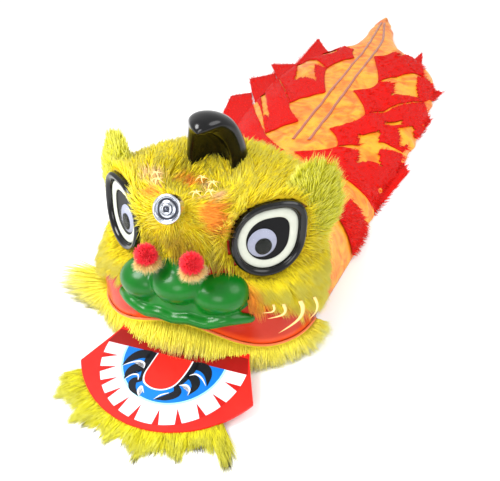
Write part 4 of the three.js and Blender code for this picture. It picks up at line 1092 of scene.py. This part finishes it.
for name, side in EYE_SIDES.items():
    brow = closed_loft(f"brow_leaf_{name}", rings * (side, 1, 1))
    normals, p = face_normals(brow), points_of(brow)
    flow = unit(np.array([0.35 * side, 0.25, 1.0]) + 0.9 * unit((p - (145 * side, -54, 185)) * (1, 1, 0.3)))
    flow = lie_flat(flow, normals)
    grow_fur(brow, brow_fur, 28000, flow, 0.9, 1.0, length=16, width=1.3,
             seed=31 + side, lift=0.5, ruffle=0.25, bend=0.4, tuft_size=0.013, tuft_pull=0.5)
    fit(brow, None, "brow", f"brow_flare_{name}")


# Pompoms: two trimmed wool balls over the bridge of the nose, each tied onto a pale ruff of short fur.
POMPOM_AT, POMPOM_RADIUS, POMPOM_PILE = (31, -195, 180), 14, 5.5
RUFF_SIZE = np.array([12, 12, 3.5])
BALL_COLUMNS = 24


def ball_mesh(name, centre, size):
    tilt = np.linspace(0.02, np.pi - 0.02, BALL_COLUMNS // 2)
    a = circle(BALL_COLUMNS)
    rings = [np.stack([np.sin(b) * np.cos(a), np.sin(b) * np.sin(a), np.full(BALL_COLUMNS, math.cos(b))], -1)
             for b in tilt]
    return closed_loft(name, np.array(rings) * size + centre)


wool = fur_finish("red_wool", (214, 14, 30), (250, 40, 56), (255, 84, 96))
ruff_wool = fur_finish("ruff_wool", (180, 120, 60), (240, 200, 120), (250, 234, 184))
for name, side in EYE_SIDES.items():
    centre = np.array(POMPOM_AT) * (side, 1, 1)
    pompom = ball_mesh(f"wool_ball_{name}", centre, np.array([1, 1, 1]) * (POMPOM_RADIUS - POMPOM_PILE))
    normals = face_normals(pompom)
    grow_fur(pompom, wool, 15000, normals * 0.2, 1.0, 1.0, length=8.5, width=1.1, seed=41 + side, lift=0.8,
             ruffle=0.35, bend=0.1, tuft_size=0.006, tuft_pull=0.3)
    fit(pompom, None, "pompom", f"pompom_{name}")

    ruff = ball_mesh(f"pale_ruff_{name}", centre + (0, 1, -11), RUFF_SIZE)
    p = points_of(ruff)
    outwards = unit((p - centre) * (1, 1, 0.2) + (0, 0, -4))
    grow_fur(ruff, ruff_wool, 8000, outwards, 1.0, 1.0, length=9, width=1.0, seed=43 + side, lift=0.3,
             ruffle=0.35, bend=0.2, droop=0.1, tuft_size=0.007, tuft_pull=0.4)
    fit(ruff, None, "ruff", f"pompom_ruff_{name}")


# Lip piping: an orange satin cord glued along the edge of the upper lip, above the fringe.
LIP_END = 78
PIPING_RADIUS = 1.5
angles = np.linspace(-LIP_END, LIP_END, 220)


def lip_line(degrees, drop, out):
    return head_point(share_at(lip_height(degrees) + drop), degrees, out)


centre_line = lip_line(angles, -0.9, 1.95)
along = unit(np.gradient(centre_line, axis=0))
outwards = unit(np.cross(along, (0, 0, 1.0)))
outwards *= np.sign(np.sum(outwards * (centre_line - (0, MIDDLE_Y, 50)), axis=1, keepdims=True))
upright_line = unit(np.cross(along, outwards))
a = circle(14)
rings = [c + PIPING_RADIUS * (np.cos(a)[:, None] * o + np.sin(a)[:, None] * u)
         for c, o, u in zip(centre_line, outwards, upright_line)]
piping = closed_loft("lip_cord", rings)
cord_satin = Finish("orange_cord", Roughness=0.5, Sheen_Weight=0.3)
twist = cord_satin.wave("DIAGONAL", 260.0, 1.0)
cord_satin.feed("Base Color", cord_satin.blend(twist, rgba((214, 84, 28)), rgba((250, 138, 62))))
cord_satin.bump(twist, 0.0005, 0.6)
fit(piping, cord_satin, "piping", "lip_piping")


# Lip fringe: a strip of long-pile fur glued under the cord, combed down over the mouth, with a bushy end
# that spreads out past each cheek, the longer one on the lion's right.
FRINGE_ROWS, FRINGE_COLUMNS, FRINGE_LENGTH = 5, 150, 45
TUFT_FROM, TUFT_LEFT, TUFT_RIGHT = 58, 2, 78
drops, angles = np.meshgrid(
    np.linspace(-2.6, -17, FRINGE_ROWS), np.linspace(-LIP_END, LIP_END, FRINGE_COLUMNS), indexing="ij")
fringe = grid_mesh("lip_pile", lip_line(angles, drops, 2.0))
normals, p = turn_outwards(fringe, (0, MIDDLE_Y, 60)), points_of(fringe)
angle = angles.ravel()
end = smooth_step(np.abs(angle), TUFT_FROM, LIP_END)
outwards = unit(normals * (1, 1, 0))
rearwards = np.stack([np.sign(angle) * 0.2, np.full_like(angle, 0.25), np.zeros_like(angle)], -1)
fan = (drops.ravel() + 9.8) / 7.2
low = np.stack([0 * angle, 0 * angle, -1.1 + end * np.where(angle < 0, 1.0 + 0.4 * fan, 1.15)], -1)
flow = unit(outwards * (0.62 + 0.5 * end)[:, None] + low + rearwards * end[:, None])
length = (FRINGE_LENGTH - 8 * np.abs(angle) / LIP_END - 15 * smooth_step(np.abs(angle), 26, 44)
          + 4 * np.sin(angle * 1.7) + end * np.where(angle < 0, TUFT_RIGHT, TUFT_LEFT))
# Painted light: the fringe's colours are set brighter than the crown fur's, to light its downward-facing
# hair.
fringe_fur_painted_light = fur_finish("fringe_fur_painted_light", (216, 200, 44), (250, 240, 84), (254, 250, 160))
grow_fur(fringe, fringe_fur_painted_light, 134000, flow, length / FRINGE_LENGTH, 1 + 1.2 * end, length=FRINGE_LENGTH,
         width=1.5, seed=51, lift=0.12, ruffle=0.19, bend=0.05, droop=0.13, tuft_size=0.012, tuft_pull=0.85,
         steps=3)
fit(fringe, None, "fringe", "lip_fringe")


# Jaw board: a flat 3 mm foam board, printed with teeth, the blue inside of the mouth and a tongue, and laid
# sloping forward. It hangs from two cloth tabs at the mouth's corners.
BOARD_HALF, BOARD_SAG, BOARD_SLOPE, BOARD_FRONT_Z, BOARD_THICK = 125, 71, 0.14, 8, 3
BOARD_REAR = [(107, -207), (96, -182), (88, -118)]
board_radius = (BOARD_HALF ** 2 + BOARD_SAG ** 2) / (2 * BOARD_SAG)
board_middle = BOARD_FRONT + board_radius
PRINT_MIDDLE = np.array([0, -209.0])
TEETH_RADIUS, RIM_RADIUS, BLUE_RADIUS = 102, 74, 71
WEDGES = (-77, -64, -51, -38, -24, -9, 9.5, 26, 43.5, 60.5, 77)
TONGUE = [(-25, -209), (-27, -228), (-28, -244), (-24, -255), (-15, -260.5), (-4, -262), (7, -259),
          (16, -251), (21, -238), (24, -222), (25, -209)]
SWIRLS = [
    # each is a line of x, y and half width
    [(-31, -209, 7), (-33, -224, 6), (-31, -240, 4), (-29, -254, 3)],
    [(-34, -214, 6), (-48, -217, 7), (-58, -227, 5), (-65, -241, 0.2)],
    [(-32, -234, 4), (-44, -238, 6), (-51, -247, 4.5), (-52, -261, 0.2)],
    [(-28, -254, 2.5), (-38, -259, 5), (-35, -269, 4.5), (-21, -279, 0.2)],
    [(29, -209, 7), (29, -222, 6), (26, -236, 5), (20, -250, 4)],
    [(31, -214, 6), (45, -215, 7), (54, -224, 5), (59, -240, 0.2)],
    [(27, -230, 4), (39, -235, 6), (44, -245, 5), (40, -260, 0.2)],
    [(19, -250, 3), (25, -260, 5.5), (15, -270, 4.5), (0, -277, 0.2)],
]
SWIRL_LIGHTS = [
    [(-64, -241, 0.2), (-56, -234, 0.9), (-45, -228, 1.1), (-37, -230, 1.3), (-34, -237, 0.4)],
    [(-52, -261, 0.2), (-45, -251, 0.9), (-37, -249, 1.1), (-33, -256, 0.4)],
    [(-21, -279, 0.2), (-26, -271, 1.0), (-24, -264, 1.1), (-17, -272, 0.3)],
    [(30, -231, 0.3), (38, -227, 1.1), (48, -231, 1.0), (57, -240, 0.2)],
    [(23, -249, 0.3), (32, -246, 1.1), (39, -251, 1.0), (40, -260, 0.2)],
    [(0, -277, 0.2), (6, -269, 0.9), (15, -263, 0.4)],
]
LAYER = 0.16                        # millimetres of one print over another
CORNER_CUT, CORNER_STEPS, STRAIGHT = 7, 6, 0.985


def on_board(x, y, lift):
    return (x, y, BOARD_FRONT_Z + BOARD_SLOPE * (y - BOARD_FRONT) + lift)


spread = math.asin(BOARD_HALF / board_radius)
sweep = np.linspace(-spread, spread, 90)
front_arc = [(board_radius * math.sin(s), board_middle - board_radius * math.cos(s)) for s in sweep]
outline = [(-x, y) for x, y in BOARD_REAR[::-1]] + front_arc + BOARD_REAR
rounded = []
for before, here, after in zip(outline[-1:] + outline[:-1], outline, outline[1:] + outline[:1]):
    before, here, after = (np.array(q, float) for q in (before, here, after))
    turn_here = unit(here - before) @ unit(after - here)
    if turn_here > STRAIGHT:
        rounded.append(here)
        continue
    cut = min(CORNER_CUT, np.linalg.norm(here - before) / 3, np.linalg.norm(after - here) / 3)
    first, last = here + unit(before - here) * cut, here + unit(after - here) * cut
    rounded += [first * (1 - t) ** 2 + 2 * here * t * (1 - t) + last * t ** 2
                for t in np.linspace(0, 1, CORNER_STEPS)]


def flat_piece(bm, outline, low, high, material):
    """A flat closed piece of the board's plane between two heights."""
    loops = [[bm.verts.new(in_row(on_board(x, y, lift))) for x, y in outline] for lift in (low, high)]
    faces = [bm.faces.new(loops[0][::-1]), bm.faces.new(loops[1])]
    for k in range(len(outline)):
        after = (k + 1) % len(outline)
        faces.append(bm.faces.new([loops[0][k], loops[0][after], loops[1][after], loops[1][k]]))
    for face in faces:
        face.material_index = material
    bmesh.ops.triangulate(bm, faces=faces[:2])


def arc_points(radius, low, high, count, stretch=1.0):
    return [PRINT_MIDDLE + radius * np.array([math.sin(s) * stretch, -math.cos(s)])
            for s in np.linspace(low, high, count)]


def ribbon(line):
    """Outline of a tapering stroke."""
    rows = fair(line, 8)
    along = unit(np.gradient(rows[:, :2], axis=0))
    side = np.stack([-along[:, 1], along[:, 0]], -1) * rows[:, 2:]
    return np.concatenate([rows[:, :2] + side, (rows[:, :2] - side)[::-1]])


board_bm = bmesh.new()
flat_piece(board_bm, rounded, -BOARD_THICK, 0, 0)
quarter = math.pi / 2
# Painted shade: a dark red strip behind the teeth, where the lip fringe shades the board.
flat_piece(board_bm, [(-104, -208.6), (-96, -184), (96, -184), (104, -208.6)], 0.02, LAYER, 1)
flat_piece(board_bm, arc_points(TEETH_RADIUS, -quarter, quarter, 90), 0.02, LAYER, 2)
for at in WEDGES:
    centre_angle, half_base = math.radians(at), math.radians(2.5)
    wedge = [PRINT_MIDDLE + r * np.array([math.sin(s), -math.cos(s)]) for r, s in [
        (TEETH_RADIUS + 0.4, centre_angle - half_base), (TEETH_RADIUS + 0.4, centre_angle + half_base),
        (RIM_RADIUS + 6, centre_angle)]]
    flat_piece(board_bm, wedge, LAYER, 2 * LAYER, 3)
for radius, layer, material in [(RIM_RADIUS, 1, 4), (BLUE_RADIUS, 2, 5)]:
    arc = arc_points(radius, -quarter, quarter, 80)
    flat_piece(board_bm, arc, layer * LAYER, (layer + 1) * LAYER, material)
for strokes, layer, material in [(SWIRLS, 3, 6), (SWIRL_LIGHTS, 4, 2)]:
    for line in strokes:
        flat_piece(board_bm, ribbon(line), layer * LAYER, (layer + 1) * LAYER, material)
tongue = fair(TONGUE, 6)
tongue_middle = np.array([-2, -209.0])
flat_piece(board_bm, tongue_middle + (tongue - tongue_middle) * (1.07, 1.035), 4 * LAYER, 5 * LAYER, 2)
flat_piece(board_bm, tongue, 5 * LAYER, 6 * LAYER, 7)
face_out(board_bm)
board = from_bmesh("jaw_plate", board_bm)

# Printed foam board: faint grain of the print, and the foam's slight dimples. Its dark red strip behind the
# teeth is painted shade.
PRINTS = [("board_red", (216, 22, 18), (236, 40, 32)), ("board_red_painted_shade", (120, 10, 10), (160, 22, 18)),
          ("tooth_white", (206, 206, 214), (228, 228, 234)), ("gum_red", (168, 14, 14), (196, 30, 24)),
          ("rim_blue", (140, 214, 246), (176, 232, 254)), ("mouth_blue", (4, 92, 182), (16, 124, 210)),
          ("swirl_black", (10, 12, 18), (24, 28, 38)), ("tongue_red", (212, 20, 16), (234, 40, 30))]
for name, dark, light in PRINTS:
    board.data.materials.append(mottled(
        name, (24, 5), dark, light, rough=(0.26, 0.2, 90, 3), dents=(130, 2, 0.0004, 0.25), Roughness=0.4,
        Coat_Weight=0.05, Coat_Roughness=0.2, Specular_IOR_Level=0.25).material)
fit(board, None, "board", "jaw_board")


# Jaw tabs: short cloth straps that tie the rear corners of the board to the inner walls of the shell.
tab_cloth = mottled("tab_webbing", (90, 4), (96, 14, 10), (150, 28, 22), Roughness=0.85, Sheen_Weight=0.3)
weave = tab_cloth.node("ShaderNodeTexChecker", {}, {"Vector": tab_cloth.place(), "Scale": 900.0}, 1)
tab_cloth.bump(weave, 0.0003, 0.5)
TAB_PROFILE = [(71, 0.7), (100, 0.9), (118, 0.8), (128.5, 1.2), (132.5, 5.5), (137.2, 17.5)]
TAB_THICK, TAB_AIR = 1.2, 1.6
for name, side in EYE_SIDES.items():
    line = fair(TAB_PROFILE, 5)
    along_tab = np.linspace(-145.5, -122.5, 9)
    grid = np.array([[(side * x, y, on_board(0, y, 0)[2] + z + 0.2) for x, z in line] for y in along_tab])
    inside_shell = head_point(share_at(grid[..., 2]), angle_of(grid), -SHELL_WALL - TAB_AIR)
    grid[..., 0] *= np.minimum(reach_of(inside_shell) / reach_of(grid), 1)
    tab = grid_mesh(f"jaw_strap_{name}", grid)
    thicken(tab, TAB_THICK, offset=0)
    fit(tab, tab_cloth, "tab", f"jaw_tab_{name}")


# Beard: a strip of yellow-green fur glued under the front edge of the jaw board and spread on the floor, in
# pointed locks, the longest at the lion's left end.
BEARD_FROM, BEARD_TO = -54, 42
BEARD_PROFILE = [(-9, -1.0), (-2, -0.8), (3, -1.4), (6, -3.0), (7, -99)]
BEARD_COLUMNS = 100
angles = np.radians(np.linspace(BEARD_FROM, BEARD_TO, BEARD_COLUMNS))
rows = []
for out, under in BEARD_PROFILE:
    x = (board_radius + out) * np.sin(angles)
    y = board_middle - (board_radius + out) * np.cos(angles)
    z = BOARD_FRONT_Z + BOARD_SLOPE * (y - BOARD_FRONT) - BOARD_THICK + under
    rows.append(np.stack([x, y, np.maximum(z, 1.2)], -1))
beard = grid_mesh("beard_pile", np.array(rows))
turn_outwards(beard, (0, board_middle, -40))
p = points_of(beard)
rays = unit((p - (0, board_middle, 0)) * (1, 1, 0))
at = np.degrees(np.arctan2(p[:, 0], board_middle - p[:, 1]))
locks = np.sin(np.radians(at * 22)) + 0.6 * np.sin(np.radians(at * 9 + 40))
pile = 0.86 + 0.16 * locks + 0.55 * smooth_step(at, 33, 39) + 0.15 * smooth_step(at, -40, -52)
cover = np.where(np.hypot(p[:, 0], p[:, 1] - board_middle) > board_radius - 4, 1.0, 0.15)
flow = unit(rays + np.stack([0.25 * np.sin(np.radians(at * 22 + 90)), 0 * at, -0.1 + 0 * at], -1))
beard_fur = fur_finish("beard_fur", (176, 160, 16), (224, 218, 40), (240, 238, 104))
grow_fur(beard, beard_fur, 92000, flow, pile, cover, length=33, width=1.5, seed=61, lift=0.14, ruffle=0.16,
         bend=0.1, droop=0.1, tuft_size=0.015, tuft_pull=0.8, steps=3)
fit(beard, None, "beard", "beard")


# Body cloth: one length of orange satin sewn to the rear of the head, arched over the dancer's back when it
# is worn and here laid out on the floor, in soft folds, narrowing to the tail.
CLOTH_SECTIONS = [
    # y, half width, ridge height, sideways shift, ripple
    (110, 172, 150, 0, 0), (170, 176, 112, 3, 2), (240, 177, 90, 6, 4), (320, 174, 78, 9, 4),
    (430, 188, 70, 12, 5), (540, 201, 64, 15, 5), (650, 207, 60, 18, 5), (760, 206, 56, 21, 5),
    (870, 200, 52, 25, 4), (960, 178, 47, 29, 3), (1040, 130, 42, 30, 2), (1120, 66, 34, 27, 1),
    (1210, 48, 26, 20, 0), (1320, 34, 17, 9, 0), (1410, 18, 10, 1, 0), (1455, 5, 5, 0, 0),
]
CLOTH_FROM, CLOTH_TO = 110, 1455
CLOTH_THICK, CLOTH_OVER_FLOOR = 1.2, 0.3
CLOTH_SHARES = np.linspace(0.004, 0.996, 84)
CLOTH_SPREAD = 18                   # millimetres over which the sections run into each other
cloth_y = np.arange(CLOTH_FROM, CLOTH_TO + 1, 1.0)
cloth_table = np.array(CLOTH_SECTIONS, float).T


def smoothed(row):
    pad = 3 * CLOTH_SPREAD
    weights = np.exp(-0.5 * (np.arange(-pad, pad + 1) / CLOTH_SPREAD) ** 2)
    dense = np.interp(cloth_y, cloth_table[0], row)
    whole = np.concatenate([2 * dense[0] - dense[pad:0:-1], dense, 2 * dense[-1] - dense[-2:-pad - 2:-1]])
    return np.convolve(whole, weights / weights.sum(), "valid")


cloth_half, cloth_rise, cloth_shift, cloth_ripple = (smoothed(row) for row in cloth_table[1:])


ARCH_WIDTH, ARCH_LIFT = 0.8, 1.15   # powers that fill out the cloth's arch


def cloth_at(y):
    """Half width, ridge height, sideways shift and ripple at a place along the cloth."""
    return (np.interp(y, cloth_y, row) for row in (cloth_half, cloth_rise, cloth_shift, cloth_ripple))


def crease(x, y):
    """Soft folds of the satin, in millimetres of height."""
    long_fold = np.sin(x * 0.075 + 2.2 * np.sin(y * 0.011)) * np.sin(y * 0.021 + x * 0.013)
    short_fold = np.sin(x * 0.16 + y * 0.034 + 1.3 * np.sin(y * 0.03)) * np.sin(y * 0.055 - x * 0.05)
    return 1.7 * long_fold + 0.9 * short_fold


def cloth_lift(x, y, arch_x, arch_z, rise, ripple):
    """Height of the cloth, from the place on its arch."""
    wave = ripple * np.sin(9 * arch_x + y * 0.031) * arch_z * np.minimum(1, 2 * np.abs(arch_x))
    fold = crease(x, y) * np.clip(rise / 50, 0, 1) * smooth_step(arch_z, 0, 0.3)
    return (rise + wave) * arch_z ** ARCH_LIFT + fold


def cloth_point(y, share):
    """Points of the cloth's upper side, by the share of the way over its arch."""
    half, rise, shift, ripple = cloth_at(y)
    arch_x, arch_z = -np.cos(share * np.pi), np.sin(share * np.pi)
    x = shift + half * np.sign(arch_x) * np.abs(arch_x) ** ARCH_WIDTH
    low = smooth_step(arch_z, 0.75, 0.1)
    x = x + low * np.sign(arch_x) * 2.5 * np.sin(y * 0.06 + 1.5 * np.sin(y * 0.023))
    return np.stack([x, y + 0 * x, cloth_lift(x, y, arch_x, arch_z, rise, ripple)], -1)


def cloth_height(x, y):
    """Height of the cloth's upper side at a place of the floor plan."""
    half, rise, shift, ripple = cloth_at(y)
    arch_x = np.clip(np.abs((x - shift) / half), 0, 1) ** (1 / ARCH_WIDTH) * np.sign(x - shift)
    return cloth_lift(x, y, arch_x, np.sqrt(1 - arch_x ** 2), rise, ripple)


def rim_line(shares, out):
    """Where the shell's outside meets the plane of its rear rim."""
    lift, aside = np.sin(shares * np.pi), -np.cos(shares * np.pi)
    low, high = np.zeros_like(shares), np.full_like(shares, 320.0)
    for _ in range(40):
        r = (low + high) / 2
        z = r * lift
        run = share_at(np.clip(z, 0, 230)) * HEAD_LENGTH
        half, reach, middle = (np.interp(run, head_run, head_table[k]) for k in (1, 3, 4))
        ratio = np.abs((REAR_Y + REAR_SLOPE * z - middle) / (reach + out)) ** BACK_SQUARE
        width = np.where(ratio < 1, (half + out) * np.maximum(1 - ratio, 0) ** (1 / BACK_SQUARE), -1)
        inside = width > np.abs(r * aside)
        low, high = np.where(inside, r, low), np.where(inside, high, r)
    return np.stack([low * aside, REAR_Y + REAR_SLOPE * low * lift, low * lift], -1)


rim = rim_line(CLOTH_SHARES, -0.5) + (0, 0.6, 0)
first = cloth_point(np.full_like(CLOTH_SHARES, CLOTH_FROM), CLOTH_SHARES)
at_edge = smooth_step(np.sin(CLOTH_SHARES * np.pi), 0, 0.3)
cloth_rows = []
for t in np.linspace(0, 1, 16, endpoint=False):
    t_z = t * math.sin(math.pi * t / 2)
    row = rim + (first - rim) * np.array([t, t, t_z])
    row[:, 2] += crease(row[:, 0], row[:, 1]) * smooth_step(t, 0.1, 1) * at_edge
    cloth_rows.append(row)
for y in np.concatenate([np.arange(CLOTH_FROM, 1100, 9), np.arange(1100, CLOTH_TO, 8), [CLOTH_TO]]):
    cloth_rows.append(cloth_point(np.full_like(CLOTH_SHARES, float(y)), CLOTH_SHARES))
cloth_rows = np.array(cloth_rows)
cloth_rows[..., 2] = np.maximum(cloth_rows[..., 2], CLOTH_THICK + CLOTH_OVER_FLOOR)
cloth = grid_mesh("satin_body", cloth_rows)
turn_outwards(cloth, (15, 700, -400))
thicken(cloth, CLOTH_THICK)
satin = Finish("orange_satin", Roughness=0.4, Specular_IOR_Level=0.3)
slub = satin.wave("X", 380.0, 2.0)
wrinkle = satin.noise(17, 4, distortion=1.2)
pucker = satin.noise(46, 3, distortion=0.8)
# Painted shade and light: the satin is deeper orange in the creases of its wrinkles and yellower on their
# tops, following the same noise as its bump.
shade = satin.step(0.6 * wrinkle + 0.4 * pucker, 0.36, 0.62)
satin.feed("Base Color", satin.blend(shade, rgba((228, 106, 10)), rgba((250, 168, 34))))
satin.feed("Roughness", 0.3 + 0.2 * slub)
satin.bump(0.75 * wrinkle + 0.25 * pucker, 0.012, 0.6, satin.bump(slub, 0.0003, 0.25))


# Spine ribbons: two narrow orange-brown ribbons stitched along the ridge of the cloth to the tail.
RIBBON_OFFSET, RIBBON_HALF, RIBBON_THICK = 16, 3.2, 0.8
RIBBON_FROM, RIBBON_TO = 372, 1370
ribbon_satin = Finish("brown_ribbon", Roughness=0.42, Sheen_Weight=0.3)
grain = ribbon_satin.wave("Y", 300.0, 1.0)
ribbon_satin.feed("Base Color", ribbon_satin.blend(
    0.5 * grain + 0.5 * ribbon_satin.noise(30, 3), rgba((140, 44, 12)), rgba((186, 84, 26))))
ribbon_satin.bump(grain, 0.0003, 0.4)
for name, side in EYE_SIDES.items():
    y = np.arange(RIBBON_FROM, RIBBON_TO + 1, 5.0)
    _, _, shift, _ = cloth_at(y)
    middle = shift + side * RIBBON_OFFSET * np.clip((CLOTH_TO - y) / 300, 0.3, 1)
    grid = np.array([np.stack([middle + dx, y, cloth_height(middle + dx, y) + lift], -1)
                     for dx, lift in [(-RIBBON_HALF, 1.0), (-1, 1.7), (1, 1.7), (RIBBON_HALF, 1.0)]])
    tape = grid_mesh(f"spine_tape_{name}", grid)
    turn_outwards(tape, (15, 870, -400))
    thicken(tape, RIBBON_THICK)
    fit(tape, ribbon_satin, "ribbon", f"spine_ribbon_{name}")


# Plush rows: leaves of short red plush sewn in overlapping rows down both sides of the spine, each with a
# point towards the spine and one beyond the edge of the cloth.
PARTINGS = {
    # inner x and y, outer x and y, width of satin showing in the middle
    "left": [(50, 252, 182, 250, 0), (85, 365, 200, 478, 30), (105, 545, 210, 745, 14),
             (96, 750, 190, 890, 66), (90, 1015, 138, 1040, 0)],
    "right": [(-50, 252, -182, 250, 0), (-68, 385, -222, 735, 30), (-70, 565, -204, 880, 6),
              (-48, 835, -168, 965, 34), (-14, 1005, -112, 1085, 0)],
}
POINTS = {
    # the point towards the spine, and the point beyond the edge
    "left": [(16, 300, 222, 430), (50, 445, 236, 690), (50, 680, 243, 868), (50, 950, 156, 1150)],
    "right": [(0, 300, -266, 700), (-18, 460, -258, 822), (-6, 645, -236, 942), (3, 925, -164, 1195)],
}
LEAST_PARTING = 3
PLUSH_ROWS, PLUSH_COLUMNS, PLUSH_OVER_CLOTH = 38, 30, 1.4
plush = fur_finish("red_plush", (200, 8, 2), (246, 24, 8), (252, 44, 22), sheen=0.0)

# Where satin shows through between the points of two leaves: middle, and the two half diagonals
WINDOWS = [
    ((-139, 591), (43, -96), (25, -81)), ((-102, 818), (46, -84), (-6, -75)),
    ((-90, 985), (36, -24), (-32, -30)), ((160, 778), (33, -29), (-17, -80)),
    ((118, 1028), (14, 34), (-9, -42)), ((165, 560), (18, 10), (-14, -26)),
    ((140, 416), (27, -33), (-7, -71)), ((199, 544), (18, -6), (-8, -55)),
]


def in_window(x, y):
    """True inside one of the four-pointed openings."""
    inside = np.zeros(np.shape(x), bool)
    for (cx, cy), (ax, ay), (bx, by) in WINDOWS:
        whole = ax * by - ay * bx
        u = ((x - cx) * by - (y - cy) * bx) / whole
        v = ((y - cy) * ax - (x - cx) * ay) / whole
        inside |= np.abs(u) ** 0.8 + np.abs(v) ** 0.8 < 1.15
    return inside


def plush_grid(ahead, behind, point):
    """Points of a leaf between two partings, with the shares of the way outwards and towards the tail."""
    q, t = np.meshgrid(np.linspace(0, 1, PLUSH_COLUMNS), np.linspace(0, 1, PLUSH_ROWS))
    bay = np.sin(np.pi * q)

    def along(parting, share):
        x0, y0, x1, y1, _ = parting
        return np.stack([x0 + (x1 - x0) * share, y0 + (y1 - y0) * share], -1)

    def rise(peak):
        return np.where(t <= peak, t / peak, (1 - t) / (1 - peak))

    flat = along(ahead, q) * (1 - t)[..., None] + along(behind, q) * t[..., None]
    neck = np.array(point[:2]) - 0.5 * (along(ahead, 0.0) + along(behind, 0.0))
    tip = np.array(point[2:]) - (0.25 * along(ahead, 1.0) + 0.75 * along(behind, 1.0))
    flat = (flat + neck * ((1 - q) ** 3 * rise(0.5) ** 1.5)[..., None]
            + tip * (q ** 3 * rise(0.75))[..., None])
    flat[..., 1] += ((LEAST_PARTING + ahead[4] * bay) * (1 - t) - (LEAST_PARTING + behind[4] * bay) * t) / 2
    x, y = flat[..., 0], flat[..., 1]
    swell = 2.2 * bay * np.sin(np.pi * t)
    return np.stack([x, y, np.maximum(cloth_height(x, y), 0.8) + PLUSH_OVER_CLOTH + swell], -1), q, t


def drop_loose(bm):
    bmesh.ops.delete(bm, geom=[v for v in bm.verts if not v.link_faces], context="VERTS")


for name, side in EYE_SIDES.items():
    for i, point in enumerate(POINTS[name]):
        ahead, behind = PARTINGS[name][i:i + 2]
        grid, q, t = plush_grid(ahead, behind, point)
        flat = grid.reshape(-1, 3)
        shown = [face for face in grid_faces(*grid.shape[:2]) if not in_window(*flat[face].mean(0)[:2])]
        leaf = make_mesh(f"plush_leaf_{name}_{i + 1}", grid, shown)
        turn_outwards(leaf, (15, 700, -3000))
        run = unit(np.gradient(grid, axis=1)).reshape(-1, 3)
        edge = np.minimum(np.minimum(t, 1 - t) * 2, 1 - q).ravel()
        spill = unit(np.gradient(grid, axis=0)).reshape(-1, 3) * ((t.ravel() - 0.5) * 0.5)[:, None]
        flow = unit(run + spill + (0, 0.35, 0))
        ragged = 1 + 0.5 * np.sin(t.ravel() * 70) * np.sin(q.ravel() * 31)
        pile = 1 + 0.9 * ragged * smooth_step(edge, 0.2, 0.0)
        grow_fur(leaf, plush, 11500, flow, pile, 1.0, length=6.5, width=2.0, seed=71 + 10 * i + side,
                 lift=0.42, ruffle=0.16, bend=0.45, droop=0.05, tuft_size=0.022, tuft_pull=0.5)
        edit(leaf, drop_loose)
        fit(leaf, None, "plush", f"plush_row_{name}_{i + 1}")

PATCH_FROM, PATCH_TO = 108, 196
y, share = np.meshgrid(np.linspace(PATCH_FROM, PATCH_TO, 16), np.linspace(0.97, 0.78, 18), indexing="ij")
grid = cloth_point(y, share) + (1.6, 0, 1.4)
patch = grid_mesh("plush_scrap_left", grid)
normals = turn_outwards(patch, (0, 150, 0))
flow = unit(np.array([0.3, 0.7, -0.6]) + 0 * normals)
grow_fur(patch, plush, 9000, flow, 1.0, 1.0, length=12, width=1.8, seed=91, lift=0.5, ruffle=0.25, bend=0.4,
         droop=0.2, tuft_size=0.015, tuft_pull=0.6)
fit(patch, None, "plush", "plush_patch_left")

fit(cloth, satin, "satin", "body_cloth")
